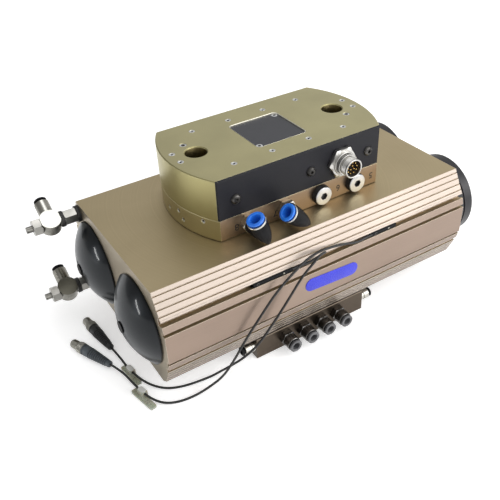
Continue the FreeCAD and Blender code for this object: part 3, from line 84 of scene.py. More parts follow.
# Name, place from the object's middle in metres, width, height, radiance and roll in degrees
LAMPS = (
    ("key", (0.468, -0.884, 0.780), 0.9, 0.7, 1.6, 0),
    ("overhead", (0.030, 0.080, 1.390), 0.6, 0.5, 1.8, 0),
    ("left_strip", (-1.274, 0.260, 0.130), 0.4, 0.06, 24.0, -37),
    ("right_front", (0.858, -0.780, 0.598), 0.5, 0.5, 2.2, 0),
    ("low_front", (0.492, -1.056, 0.312), 1.6, 0.5, 1.9, 0),
)


def add_camera():
    data = bpy.data.cameras.new("camera")
    data.lens = CAMERA_LENS
    data.sensor_width = SENSOR_WIDTH
    camera = bpy.data.objects.new("camera", data)
    turn = CAMERA_FORWARD.to_track_quat("-Z", "Y") @ Quaternion((0, 0, 1), CAMERA_ROLL)
    camera.matrix_world = Matrix.Translation(CAMERA_PLACE) @ turn.to_matrix().to_4x4()
    bpy.context.scene.collection.objects.link(camera)
    bpy.context.scene.camera = camera


def add_lamps():
    """Rectangular lamps that face the object, each with a given radiance."""
    for name, offset, width, height, radiance, roll in LAMPS:
        data = bpy.data.lights.new(name, "AREA")
        data.shape = "RECTANGLE"
        data.size = width
        data.size_y = height
        data.energy = radiance * math.pi * width * height
        lamp = bpy.data.objects.new(name, data)
        place = OBJECT_MIDDLE + Vector(offset)
        aim = (OBJECT_MIDDLE - place).to_track_quat("-Z", "Y") @ Quaternion((0, 0, 1), math.radians(roll))
        lamp.matrix_world = Matrix.Translation(place) @ aim.to_matrix().to_4x4()
        lamp.visible_camera = False
        bpy.context.scene.collection.objects.link(lamp)


def add_world():
    """A room that is bright towards one side and dim towards the other."""
    world = bpy.data.worlds.new("studio")
    world.use_nodes = True
    bpy.context.scene.world = world
    nodes = world.node_tree.nodes
    links = world.node_tree.links
    direction = nodes.new("ShaderNodeTexCoord")
    towards = nodes.new("ShaderNodeVectorMath")
    towards.operation = "DOT_PRODUCT"
    towards.inputs[1].default_value = BRIGHT_SIDE
    level = nodes.new("ShaderNodeMapRange")
    for name, value in ROOM_LEVELS.items():
        level.inputs[name].default_value = value
    links.new(direction.outputs["Generated"], towards.inputs[0])
    links.new(towards.outputs["Value"], level.inputs["Value"])
    links.new(level.outputs["Result"], nodes["Background"].inputs["Strength"])
    nodes["Background"].inputs["Color"].default_value = (1.0, 1.0, 1.0, 1.0)


# Materials

class Finish:
    """A procedural material, made by short calls around one Principled shader."""

    def __init__(self, name, settings):
        self.material = bpy.data.materials.new(name)
        self.material.use_nodes = True
        self.tree = self.material.node_tree
        self.shader = self.tree.nodes["Principled BSDF"]
        for setting, value in settings.items():
            self.shader.inputs[setting].default_value = value
        coordinates = self.node("TexCoord", {}).outputs
        self.place = coordinates["Object"]
        self.flat_normal = coordinates["Normal"]
        self.normal = None

    def node(self, kind, inputs, **attributes):
        made = self.tree.nodes.new("ShaderNode" + kind)
        for name, value in attributes.items():
            setattr(made, name, value)
        for key, value in inputs.items():
            if isinstance(value, bpy.types.NodeSocket):
                self.tree.links.new(value, made.inputs[key])
            else:
                made.inputs[key].default_value = value
        return made

    def noise(self, per_metre, detail=3.0):
        """Noise with a given number of features per metre, one for all axes or one each for X, Y and Z."""
        scale = per_metre if isinstance(per_metre, tuple) else (per_metre, per_metre, per_metre)
        stretched = self.node("Mapping", {"Vector": self.place, "Scale": scale})
        inputs = {"Vector": stretched.outputs["Vector"], "Scale": 1.0, "Detail": detail}
        return self.node("TexNoise", inputs).outputs["Fac"]

    def height(self):
        return self.node("SeparateXYZ", {"Vector": self.place}).outputs["Z"]

    def spread(self, value, low, high, to_low=0.0, to_high=1.0):
        inputs = {"Value": value, "From Min": low, "From Max": high, "To Min": to_low, "To Max": to_high}
        return self.node("MapRange", inputs).outputs["Result"]

    def times(self, first, second):
        return self.node("Math", {0: first, 1: second}, operation="MULTIPLY").outputs["Value"]

    def plus(self, first, second):
        return self.node("Math", {0: first, 1: second}, operation="ADD").outputs["Value"]

    def blend(self, factor, first, second):
        inputs = {0: factor, 6: first, 7: second}
        return self.node("Mix", inputs, data_type="RGBA").outputs[2]

    def shaded(self, colour, factor):
        """A colour made lighter or darker by a factor."""
        return self.node("HueSaturation", {"Value": factor, "Color": colour}).outputs["Color"]

    def facing(self, axis, low, high):
        """Mask of faces that look along an axis of the piece."""
        inputs = {0: self.flat_normal, 1: axis}
        dot = self.node("VectorMath", inputs, operation="DOT_PRODUCT").outputs["Value"]
        return self.spread(dot, low, high)

    def turning(self, per_metre):
        """Noise in rings round the Z axis, as a mill leaves."""
        flat = self.node("VectorMath", {0: self.place, 1: (1.0, 1.0, 0.0)}, operation="MULTIPLY")
        radius = self.node("VectorMath", {0: flat.outputs["Vector"]}, operation="LENGTH").outputs["Value"]
        inputs = {"W": radius, "Scale": per_metre, "Detail": 2.0}
        return self.node("TexNoise", inputs, noise_dimensions="1D").outputs["Fac"]

    def choose(self, mask, first, second):
        return self.node("Mix", {0: mask, 2: first, 3: second}, data_type="FLOAT").outputs[0]

    def round_edges(self, radius):
        """Rounds the shading of edges, and returns a mask of where they are."""
        soft = self.node("Bevel", {"Radius": radius}, samples=6).outputs["Normal"]
        sharp = self.node("NewGeometry", {}).outputs["Normal"]
        dot = self.node("VectorMath", {0: soft, 1: sharp}, operation="DOT_PRODUCT").outputs["Value"]
        self.normal = soft
        return self.spread(dot, 0.98, 0.80)

    def emboss(self, height, depth, strength=1.0):
        inputs = {"Height": height, "Distance": depth, "Strength": strength}
        if self.normal is not None:
            inputs["Normal"] = self.normal
        self.normal = self.node("Bump", inputs).outputs["Normal"]

    def done(self, colour=None, roughness=None):
        for socket, value in (("Base Color", colour), ("Roughness", roughness), ("Normal", self.normal)):
            if value is not None:
                self.tree.links.new(value, self.shader.inputs[socket])
        return self.material


def rgb(red, green, blue):
    return (red, green, blue, 1.0)


# Floor

FLOOR_GAP = 0.0001
FLOOR_Z = cad_box[0][2] - FLOOR_GAP
FLOOR_SIZE = 12.0
FLOOR_GLOW = 0.42


def floor_material():
    """White paper, lifted a little where it is seen directly or mirrored, so that it ends white."""
    settings = {"Roughness": 0.9, "Specular IOR Level": 0.1, "Emission Color": rgb(1.0, 1.0, 1.0)}
    finish = Finish("floor_white", settings)
    clouds = finish.noise(3.0)
    colour = finish.blend(finish.spread(clouds, 0.3, 0.7), rgb(0.93, 0.93, 0.93), rgb(0.95, 0.95, 0.95))
    rays = finish.node("LightPath", {}).outputs
    seen = finish.plus(rays["Is Glossy Ray"], rays["Is Transmission Ray"])
    seen = finish.plus(rays["Is Camera Ray"], seen)
    glow = finish.spread(seen, 0.0, 1.0, 0.0, FLOOR_GLOW)
    finish.tree.links.new(glow, finish.shader.inputs["Emission Strength"])
    return finish.done(colour)


def add_floor():
    mesh = bpy.data.meshes.new("floor")
    half = FLOOR_SIZE / 2
    corners = [(-half, -half, FLOOR_Z), (half, -half, FLOOR_Z), (half, half, FLOOR_Z), (-half, half, FLOOR_Z)]
    mesh.from_pydata(corners, [], [(0, 1, 2, 3)])
    mesh.materials.append(floor_material())
    floor = bpy.data.objects.new("floor", mesh)
    bpy.context.scene.collection.objects.link(floor)


# Metals

def brushed_bronze(name, side, panel, top, end, worn, roughness):
    """Anodised extrusion: draw lines along X, milled top and ends, paler edges. The tones of the front panel,
    the top and the left end are painted light and shade, and the darkening towards the bottom is painted
    shade.
    """
    finish = Finish(name, {"Metallic": 1.0})
    edge = finish.round_edges(0.0005)
    lines = finish.noise((4.0, 2400.0, 2400.0), 3.0)
    rings = finish.turning(700.0)
    clouds = finish.noise((14.0, 20.0, 20.0))
    grain = finish.noise(2400.0, 2.0)
    up = finish.facing((0, 0, 1), 0.9, 0.98)
    marks = finish.choose(up, lines, finish.spread(rings, 0.0, 1.0, 0.25, 0.75))
    # Painted light and shade: the front panel, the top and the left end each get a tone of their own.
    tone = finish.blend(finish.facing((0, -1, 0), 0.9, 0.98), side, panel)
    tone = finish.blend(up, tone, top)
    tone = finish.blend(finish.facing((-1, 0, 0), 0.9, 0.98), tone, end)
    tone = finish.shaded(tone, finish.spread(marks, 0.3, 0.7, 0.95, 1.04))
    tone = finish.shaded(tone, finish.spread(clouds, 0.3, 0.75, 1.03, 0.94))
    # Painted shade: darker towards the bottom.
    tone = finish.shaded(tone, finish.spread(finish.height(), 0.0, 0.04, 0.72, 1.0))
    wear = finish.times(edge, finish.spread(grain, 0.35, 0.6, 0.3, 1.0))
    tone = finish.blend(wear, tone, worn)
    finish.emboss(marks, 0.00002, 0.06)
    finish.emboss(grain, 0.00002, 0.1)
    dullness = finish.choose(up, finish.spread(lines, 0.25, 0.75, roughness - 0.03, roughness + 0.05),
                             finish.spread(clouds, 0.25, 0.75, roughness + 0.08, roughness + 0.14))
    return finish.done(tone, dullness)


def satin_gold(name, side, top, front, worn, roughness):
    """Anodised block with a fine blasted grain, faint stains and bright edges. Its tones for faces looking up
    and to the front are painted light and shade.
    """
    finish = Finish(name, {"Metallic": 1.0, "Coat Weight": 0.15, "Coat Roughness": 0.3})
    edge = finish.round_edges(0.0005)
    grain = finish.noise(3000.0, 2.0)
    clouds = finish.noise((26.0, 26.0, 40.0), 4.0)
    lines = finish.noise((60.0, 60.0, 1500.0), 3.0)
    # Painted light and shade: faces looking up and to the front get tones of their own.
    tone = finish.blend(finish.facing((0, 0, 1), 0.9, 0.98), side, top)
    tone = finish.blend(finish.facing((0, -1, 0), 0.9, 0.98), tone, front)
    tone = finish.shaded(tone, finish.spread(clouds, 0.3, 0.7, 0.92, 1.06))
    tone = finish.shaded(tone, finish.spread(grain, 0.4, 0.7, 0.97, 1.05))
    wear = finish.times(edge, finish.spread(clouds, 0.3, 0.6, 0.4, 1.0))
    tone = finish.blend(wear, tone, worn)
    finish.emboss(grain, 0.00003, 0.35)
    finish.emboss(lines, 0.00002, 0.15)
    return finish.done(tone, finish.spread(grain, 0.3, 0.7, roughness - 0.05, roughness + 0.08))


def plated(name, dark, pale, roughness):
    """Turned and plated metal with fine tool marks and a few dull spots."""
    finish = Finish(name, {"Metallic": 1.0})
    edge = finish.round_edges(0.0002)
    marks = finish.noise(2600.0, 2.0)
    spots = finish.noise(90.0, 2.0)
    tone = finish.blend(finish.spread(spots, 0.35, 0.7), pale, dark)
    tone = finish.blend(finish.times(edge, finish.spread(marks, 0.3, 0.6)), tone, pale)
    finish.emboss(marks, 0.00001, 0.06)
    return finish.done(tone, finish.spread(spots, 0.3, 0.7, roughness, roughness + 0.06))


DISC_AXIS = (0, -0.47, 0.88)


def valve_nickel(name, dark, pale, disc, roughness):
    """Plated valve body whose flat disc gets a painted tone of its own, standing in for the light and shade
    on the disc.
    """
    finish = Finish(name, {"Metallic": 1.0})
    finish.round_edges(0.0003)
    marks = finish.noise(2600.0, 2.0)
    spots = finish.noise(120.0, 2.0)
    tone = finish.blend(finish.spread(spots, 0.35, 0.7), pale, dark)
    # Painted light and shade: the flat disc gets its own tone.
    tone = finish.blend(finish.facing(DISC_AXIS, 0.95, 0.99), tone, disc)
    tone = finish.shaded(tone, finish.spread(marks, 0.3, 0.7, 0.94, 1.05))
    finish.emboss(marks, 0.00001, 0.06)
    return finish.done(tone, finish.spread(spots, 0.3, 0.7, roughness, roughness + 0.06))


# Coatings, plastics and rubber

def satin_black(name, dark, pale, worn, roughness, gloss):
    """Black anodised plate with a fine grain and faint rubbed patches."""
    finish = Finish(name, {"Specular IOR Level": gloss})
    edge = finish.round_edges(0.0004)
    grain = finish.noise(2600.0, 2.0)
    clouds = finish.noise(34.0, 4.0)
    tone = finish.blend(finish.spread(clouds, 0.35, 0.7), dark, pale)
    tone = finish.blend(finish.times(edge, finish.spread(grain, 0.4, 0.65)), tone, worn)
    finish.emboss(grain, 0.00003, 0.3)
    return finish.done(tone, finish.spread(clouds, 0.3, 0.7, roughness - 0.05, roughness + 0.08))


def gloss_black():
    """Painted cap with a slight waviness and a little dust."""
    settings = {"Specular IOR Level": 0.15, "Coat Weight": 0.3, "Coat Roughness": 0.08,
                "Coat Tint": rgb(0.88, 0.94, 1.0), "Specular Tint": rgb(0.84, 0.93, 1.0)}
    finish = Finish("gloss_black", settings)
    finish.round_edges(0.0012)
    waves = finish.noise(160.0, 2.0)
    dust = finish.noise(1800.0, 2.0)
    specks = finish.spread(dust, 0.72, 0.80)
    tone = finish.blend(specks, rgb(0.004, 0.0045, 0.0055), rgb(0.05, 0.05, 0.05))
    finish.emboss(waves, 0.00003, 0.1)
    return finish.done(tone, finish.spread(waves, 0.3, 0.7, 0.28, 0.34))


def turned_black():
    """Black cap with turning lines round its side."""
    finish = Finish("turned_black", {"Specular IOR Level": 0.4})
    edge = finish.round_edges(0.0004)
    lines = finish.noise((2600.0, 12.0, 12.0), 3.0)
    clouds = finish.noise(60.0)
    tone = finish.blend(finish.spread(clouds, 0.3, 0.7), rgb(0.007, 0.007, 0.009), rgb(0.016, 0.015, 0.018))
    tone = finish.blend(finish.times(edge, finish.spread(lines, 0.4, 0.6)), tone, rgb(0.09, 0.09, 0.09))
    finish.emboss(lines, 0.00003, 0.4)
    return finish.done(tone, finish.spread(lines, 0.3, 0.7, 0.30, 0.42))


def moulded(name, dark, pale, roughness, grain_depth=0.00004, gloss=0.5):
    """Moulded plastic with a fine erosion grain and slight shade changes."""
    finish = Finish(name, {"Specular IOR Level": gloss})
    edge = finish.round_edges(0.00035)
    grain = finish.noise(1900.0, 2.0)
    clouds = finish.noise(120.0)
    tone = finish.blend(finish.spread(clouds, 0.3, 0.7), dark, pale)
    tone = finish.blend(finish.spread(edge, 0.2, 1.0, 0.0, 0.5), tone, pale)
    finish.emboss(grain, grain_depth, 0.3)
    return finish.done(tone, finish.spread(grain, 0.3, 0.7, roughness - 0.06, roughness + 0.06))


def rubber(name, dark, pale, roughness):
    finish = Finish(name, {"Specular IOR Level": 0.4})
    grain = finish.noise(1400.0, 3.0)
    dust = finish.noise(300.0, 2.0)
    tone = finish.blend(finish.spread(dust, 0.35, 0.75), dark, pale)
    finish.emboss(grain, 0.00004, 0.3)
    return finish.done(tone, finish.spread(dust, 0.3, 0.7, roughness - 0.05, roughness + 0.1))


def clear_clip():
    """Yellowed translucent plastic."""
    settings = {"Transmission Weight": 0.35, "IOR": 1.45, "Subsurface Weight": 0.2}
    finish = Finish("clear_clip", settings)
    finish.round_edges(0.0004)
    clouds = finish.noise(180.0)
    grain = finish.noise(1500.0, 2.0)
    tone = finish.blend(finish.spread(clouds, 0.3, 0.7), rgb(0.40, 0.385, 0.29), rgb(0.62, 0.60, 0.49))
    finish.emboss(grain, 0.00004, 0.2)
    return finish.done(tone, finish.spread(grain, 0.3, 0.7, 0.22, 0.36))


# Finishes by slot, and those of single nodes and pieces

SLOT_FINISHES = {
    # The tones given by facing to bronze, gold and dark_bronze below are painted light and shade.
    "bronze_aluminium": brushed_bronze("bronze", rgb(0.38, 0.325, 0.28), rgb(0.315, 0.24, 0.192),
                                       rgb(0.51, 0.42, 0.26), rgb(0.355, 0.30, 0.215),
                                       rgb(0.80, 0.70, 0.60), 0.36),
    "gold_aluminium": satin_gold("gold", rgb(0.415, 0.375, 0.18), rgb(0.52, 0.475, 0.26),
                                 rgb(0.415, 0.375, 0.18), rgb(0.84, 0.80, 0.52), 0.36),
    "dark_aluminium": brushed_bronze("dark_bronze", rgb(0.14, 0.112, 0.086), rgb(0.135, 0.106, 0.08),
                                     rgb(0.14, 0.112, 0.086), rgb(0.14, 0.112, 0.086),
                                     rgb(0.42, 0.36, 0.29), 0.36),
    "black_aluminium": satin_black("charcoal", rgb(0.022, 0.022, 0.026), rgb(0.034, 0.034, 0.039),
                                   rgb(0.16, 0.15, 0.14), 0.42, 0.5),
    "plain_aluminium": plated("plain_aluminium", rgb(0.62, 0.62, 0.62), rgb(0.80, 0.80, 0.80), 0.30),
    "steel": plated("steel", rgb(0.46, 0.45, 0.43), rgb(0.66, 0.65, 0.63), 0.26),
    "nickel": plated("nickel", rgb(0.48, 0.468, 0.425), rgb(0.58, 0.568, 0.52), 0.22),
    "black_plastic": moulded("black_plastic", rgb(0.004, 0.004, 0.005), rgb(0.011, 0.011, 0.012), 0.46,
                             gloss=0.12),
    "blue_plastic": moulded("blue_plastic", rgb(0.018, 0.150, 0.68), rgb(0.030, 0.235, 0.90), 0.30),
    "grey_plastic": moulded("grey_plastic", rgb(0.075, 0.075, 0.08), rgb(0.14, 0.14, 0.145), 0.40),
    "clear_plastic": clear_clip(),
    "black_rubber": rubber("black_rubber", rgb(0.012, 0.012, 0.012), rgb(0.035, 0.034, 0.033), 0.46),
}
NICKEL = SLOT_FINISHES["nickel"]
BLACK_PLASTIC = SLOT_FINISHES["black_plastic"]
BLUE_PLASTIC = SLOT_FINISHES["blue_plastic"]
# Black rubber of the cables and the plugs' seals, also used for painted shade in the grips' grooves.
BLACK_RUBBER_AND_SHADE = SLOT_FINISHES["black_rubber"]
GLOSS_BLACK = gloss_black()
TURNED_BLACK = turned_black()
DARK_COVER = satin_black("dark_cover", rgb(0.008, 0.008, 0.011), rgb(0.013, 0.013, 0.017),
                         rgb(0.10, 0.10, 0.10), 0.5, 0.24)
SUNK_LID = satin_black("sunk_lid", rgb(0.030, 0.031, 0.037), rgb(0.046, 0.047, 0.054),
                       rgb(0.16, 0.15, 0.14), 0.42, 0.5)
# Pale tone of the lid pocket's edge, a painted highlight.
LID_EDGE_HIGHLIGHT = plated("lid_edge_highlight", rgb(0.78, 0.75, 0.64), rgb(0.88, 0.85, 0.74), 0.34)
# The distributor plate's dark brown front tone is a painted reflection of the housing's top.
OLIVE_PLATE = satin_gold("olive_plate", rgb(0.46, 0.405, 0.22), rgb(0.46, 0.405, 0.22),
                         rgb(0.265, 0.195, 0.135), rgb(0.84, 0.80, 0.52), 0.36)
BRIGHT_ZINC = plated("bright_zinc", rgb(0.68, 0.69, 0.70), rgb(0.82, 0.83, 0.84), 0.34)
PLUG_ZINC = plated("plug_zinc", rgb(0.56, 0.57, 0.585), rgb(0.68, 0.69, 0.705), 0.36)
# The upper valve's pale disc tone is a painted highlight; the lower valve's dark disc tone is painted shade.
UPPER_VALVE = valve_nickel("upper_valve", rgb(0.20, 0.195, 0.17), rgb(0.30, 0.29, 0.26),
                           rgb(0.60, 0.595, 0.55), 0.26)
LOWER_VALVE = valve_nickel("lower_valve", rgb(0.18, 0.175, 0.15), rgb(0.27, 0.26, 0.23),
                           rgb(0.105, 0.10, 0.08), 0.26)
STEM_NICKEL = plated("stem_nickel", rgb(0.33, 0.325, 0.30), rgb(0.44, 0.43, 0.40), 0.28)
VALVE_SCREW = plated("valve_screw", rgb(0.17, 0.165, 0.15), rgb(0.28, 0.275, 0.25), 0.26)
PLUG_NICKEL = plated("plug_nickel", rgb(0.26, 0.255, 0.225), rgb(0.36, 0.35, 0.315), 0.34)
SHADED_STEEL = plated("shaded_steel", rgb(0.10, 0.10, 0.10), rgb(0.18, 0.18, 0.18), 0.34)
SMOKED_NICKEL = plated("smoked_nickel", rgb(0.10, 0.095, 0.09), rgb(0.17, 0.165, 0.16), 0.24)
SATIN_NICKEL = plated("satin_nickel", rgb(0.48, 0.47, 0.445), rgb(0.58, 0.57, 0.545), 0.28)
# Black oxide of real screws, also used for painted shade in the head's sockets.
BLACK_STEEL_AND_SHADE = plated("black_steel_and_shade", rgb(0.03, 0.029, 0.028), rgb(0.11, 0.105, 0.10), 0.28)
SLATE_GRIP = moulded("slate_grip", rgb(0.045, 0.055, 0.065), rgb(0.085, 0.10, 0.115), 0.46)
BLACK_GRIP = moulded("black_grip", rgb(0.010, 0.011, 0.012), rgb(0.024, 0.025, 0.027), 0.48)
BLUE_PLATE = moulded("blue_plate", rgb(0.028, 0.034, 0.54), rgb(0.036, 0.043, 0.62), 0.28, 0.00002)
BORE_SHADE = plated("bore_shade", rgb(0.12, 0.095, 0.045), rgb(0.24, 0.195, 0.095), 0.34)
# Dark tone of the port numbers' print, also used for painted shade on the lid screws.
DARK_PRINT_AND_SHADE = moulded("dark_print_and_shade", rgb(0.016, 0.013, 0.010), rgb(0.04, 0.032, 0.024), 0.6)
GOLD_CONTACT = plated("gold_contact", rgb(0.62, 0.38, 0.10), rgb(0.88, 0.62, 0.24), 0.2)
WHITE_TAG = moulded("white_tag", rgb(0.60, 0.60, 0.57), rgb(0.78, 0.78, 0.75), 0.5)
PALE_LENS = moulded("pale_lens", rgb(0.30, 0.29, 0.24), rgb(0.52, 0.50, 0.42), 0.2)

NODE_FINISHES = {
    "front_dome_cap": GLOSS_BLACK,
    "rear_dome_cap": GLOSS_BLACK,
    "front_flat_cap": TURNED_BLACK,
    "rear_flat_cap": TURNED_BLACK,
    "front_cover": DARK_COVER,
    "cover_screws": BLACK_STEEL_AND_SHADE,
    "distributor_plate": OLIVE_PLATE,
    "port_plugs": PLUG_ZINC,
    "head_screws": BRIGHT_ZINC,
    "head_dowels": BRIGHT_ZINC,
    "plate_plugs": BRIGHT_ZINC,
    "upper_valve_body": UPPER_VALVE,
    "lower_valve_body": LOWER_VALVE,
    "upper_valve_adjuster": VALVE_SCREW,
    "lower_valve_adjuster": VALVE_SCREW,
    "valve_stems": STEM_NICKEL,
    "manifold_fittings": SMOKED_NICKEL,
}


def dress_nodes():
    for subpart in frame["record"]["subparts"]:
        node = subpart["node"]
        mesh = NODES[node].data
        mesh.materials.clear()
        mesh.materials.append(NODE_FINISHES.get(node, SLOT_FINISHES[subpart["material_slot"]]))


# Mesh helpers

SHARP_ANGLE = math.radians(32)

# Sides of turned pieces, from large ones to small ones
FINE_TURN = 96
TURN = 64
COARSE_TURN = 48
SMALL_TURN = 32
PIN_TURN = 16


def add_piece(mesh, name, body, material):
    mesh.materials.clear()
    mesh.materials.append(material)
    for face in mesh.polygons:
        face.use_smooth = True
    mesh.set_sharp_from_angle(angle=SHARP_ANGLE)
    piece = bpy.data.objects.new(name, mesh)
    bpy.context.scene.collection.objects.link(piece)
    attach(piece, body)
    return piece


def skinned(loops, closed=False):
    """Mesh over loops of points in metres, with flat ends unless it closes on itself."""
    shape = bmesh.new()
    corners = [[shape.verts.new(point) for point in loop] for loop in loops]
    pairs = list(zip(corners, corners[1:]))
    if closed:
        pairs.append((corners[-1], corners[0]))
    for low, high in pairs:
        for k in range(len(low)):
            after = (k + 1) % len(low)
            shape.faces.new((low[k], low[after], high[after], high[k]))
    if not closed:
        shape.faces.new(corners[0][::-1])
        shape.faces.new(corners[-1])
    bmesh.ops.recalc_face_normals(shape, faces=shape.faces)
    mesh = bpy.data.meshes.new("skinned")
    shape.to_mesh(mesh)
    shape.free()
    return mesh


def lathe(rings, origin, axis, segments=72, closed=False):
    """Mesh turned about an axis. A ring is a radius, fixed or by angle, and a distance along, in mm."""
    turn = Matrix.Translation(origin) @ axis.to_track_quat("Z", "Y").to_matrix().to_4x4()
    loops = []
    for radius, along in rings:
        loop = []
        for k in range(segments):
            angle = 2 * math.pi * k / segments
            r = radius(angle) if callable(radius) else radius
            loop.append(turn @ (Vector((r * math.cos(angle), r * math.sin(angle), along)) * MM))
        loops.append(loop)
    return skinned(loops, closed)


def joined(meshes):
    shape = bmesh.new()
    for mesh in meshes:
        shape.from_mesh(mesh)
    mesh = bpy.data.meshes.new("joined")
    shape.to_mesh(mesh)
    shape.free()
    return mesh


def hexagon(flats, limit):
    """Radius of a hexagon at each angle, cut off at a round limit."""
    sixth = math.pi / 3
    return lambda angle: min(flats / 2 / math.cos(angle % sixth - sixth / 2), limit)


def rounded_square(half, corner_r):
    """Radius of a square with round corners at each angle."""
    core = half - corner_r

    def radius(angle):
        across = abs(math.cos(angle))
        up = abs(math.sin(angle))
        if half * min(across, up) <= core * max(across, up):
            return half / max(across, up)
        return core * (across + up) + math.sqrt(corner_r ** 2 - (core * (across - up)) ** 2)

    return radius


def flutes(radius, depth, count):
    return lambda angle: radius - depth * (0.5 + 0.5 * math.cos(count * angle))


THREAD_STEPS = 6


def thread(crest, depth, pitch, start, end):
    """Rings of a screw thread."""
    rings = []
    count = round((end - start) / pitch * THREAD_STEPS)
    for k in range(count + 1):
        along = start + (end - start) * k / count

        def radius(angle, along=along):
            phase = (along / pitch - angle / (2 * math.pi)) % 1.0
            return crest - depth * abs(2 * phase - 1)

        rings.append((radius, along))
    return rings


PLATE_STEPS = 20
PLATE_EDGE = ((0.0, 0.0), (0.0, 0.25), (0.12, 0.4), (0.35, 0.46))


def pill(half_length, radius):
    """Outline of a straight strip with round ends."""
    points = []
    for end in (1, -1):
        for k in range(PLATE_STEPS + 1):
            angle = math.pi * k / PLATE_STEPS - math.pi / 2
            points.append((end * (half_length + radius * math.cos(angle)), end * radius * math.sin(angle)))
    return points


def round_ended_plate(start, end, radius, outward):
    """Thin plate with round ends and a soft edge, between the centres of its ends, in mm."""
    along = (end - start).normalized()
    across = outward.cross(along)
    middle = (start + end) / 2
    half_length = (end - start).length / 2
    loops = []
    for inset, rise in PLATE_EDGE:
        outline = pill(half_length, radius - inset)
        loops.append([(middle + along * u + across * v + outward * rise) * MM for u, v in outline])
    return skinned(loops)


# Sensor cables. Their points are the control points of smooth curves.

CABLE_R = 1.0
SLOT_Y = -86.635
SLOT_Z = 69.6
FLOOR_LINE = -20.5
PLUG_Z = -16.2
CABLE_POINTS = {
    "right": [
        (45, SLOT_Y, SLOT_Z), (37, SLOT_Y, SLOT_Z), (28, -89.3, 70.6), (12, -89.2, 75.2), (-8, -89, 78.3),
        (-24, -92, 79), (-41, -94.3, 72.2), (-57, -95.3, 61.8), (-72, -96, 46), (-86, -95.5, 29),
        (-97, -93.5, 10), (-105.5, -89, -7), (-115, -83.5, -17.5), (-128, -83, FLOOR_LINE),
        (-143, -81.5, FLOOR_LINE), (-154.5, -76.5, -19.6), (-162, -67, -17.4), (-166.5, -48, -17),
        (-169.05, -28.3, PLUG_Z), (-174.2, -15.3, PLUG_Z),
    ],
    "left": [
        (-36, SLOT_Y, SLOT_Z), (-29.5, SLOT_Y, SLOT_Z), (-20, -88, 70.3), (-10.8, -89.6, 74.2),
        (-8.9, -93.3, 78.7), (-12, -97.2, 82.4), (-18, -98.5, 83.1), (-23.7, -98.8, 78.4), (-34.2, -98, 69.2),
        (-45.8, -97, 52.1), (-62.8, -95.5, 29.2), (-76, -94.5, 14.3), (-86.7, -89.5, 2.8), (-94.9, -83, -6.3),
        (-100.8, -76, -15), (-108, -71.9, FLOOR_LINE), (-122, -70.5, FLOOR_LINE), (-133.8, -68.1, FLOOR_LINE),
        (-144.3, -63.5, FLOOR_LINE), (-152.3, -56.3, -19.5), (-158.2, -48.1, -17.4), (-161.5, -36, -17.1),
        (-163.4, -24, -17), (-164.1, -10.4, PLUG_Z), (-165.7, 3.5, PLUG_Z),
    ],
}
PLUG_GRIP = 32.5
PLUG_CORE_R = 3.05
PLUG_END = 47.3
GRIP_FINISHES = {"right": SLATE_GRIP, "left": BLACK_GRIP}
GRIP_RIBS = 10
GRIP_RIB_PITCH = 2.1
GRIP_RIB_START = 4.6
GRIP_RIB_WIDTH = 1.1
GRIP_RIB_HEIGHT = 0.8
GRIP_LOW_R = 2.65
GRIP_TAPER = 0.16
PLUG_NUT_START = 32.9
PLUG_NUT_STEP = 38.9
PLUG_NUT_END = 46.9
PLUG_NUT_R = 5.2
PLUG_NUT_BORE_R = 3.1
PLUG_THREAD_R = 4.0
PLUG_FLUTES = 26


def plug_axis(side):
    """Cable end of a plug and the direction in which its cable runs into it."""
    before, entry = [Vector(point) * MM for point in CABLE_POINTS[side][-2:]]
    return entry, (entry - before).normalized()


def plug_grip(side):
    """Moulded grip with a blunt cable end, fine ribs and a smooth shoulder."""
    rings = [(CABLE_R, 0.0), (2.5, 0.0), (2.9, 0.5), (3.1, 3.6), (2.8, 4.1)]
    for k in range(GRIP_RIBS):
        start = GRIP_RIB_START + GRIP_RIB_PITCH * k
        end = start + GRIP_RIB_WIDTH
        low = GRIP_LOW_R + GRIP_TAPER * k
        high = low + GRIP_RIB_HEIGHT
        rings += [(low, start), (high, start + 0.2), (high, end - 0.2), (low, end)]
    rings += [
        (4.75, PLUG_GRIP - 6.2), (4.9, PLUG_GRIP - 5.4), (4.9, PLUG_GRIP - 2.2), (4.4, PLUG_GRIP - 1.9),
        (4.4, PLUG_GRIP - 1.4), (5.0, PLUG_GRIP - 1.1), (5.0, PLUG_GRIP - 0.2), (4.8, PLUG_GRIP),
        (PLUG_CORE_R, PLUG_GRIP), (PLUG_CORE_R, PLUG_END - 0.3), (PLUG_CORE_R - 0.3, PLUG_END),
    ]
    node = side + "_cable_plug"
    grip = add_piece(lathe(rings, *plug_axis(side)), side + "_plug_grip", "housing",
                     GRIP_FINISHES[side])
    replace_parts(grip, node)
    return grip


def grip_groove_shade(side):
    """Dark rings in the bottoms of the grooves between a grip's ribs, painted shade."""
    grooves = []
    for k in range(GRIP_RIBS - 1):
        start = GRIP_RIB_START + GRIP_RIB_PITCH * k + GRIP_RIB_WIDTH - 0.05
        end = start + GRIP_RIB_PITCH - GRIP_RIB_WIDTH + 0.1
        low = GRIP_LOW_R + GRIP_TAPER * k
        rings = [(low - 0.3, start), (low + 0.12, start), (low + 0.25, (start + end) / 2), (low + 0.12, end),
                 (low - 0.3, end)]
        grooves.append(lathe(rings, *plug_axis(side), COARSE_TURN, closed=True))
    return add_piece(joined(grooves), side + "_grip_groove_shade", "housing", BLACK_RUBBER_AND_SHADE)


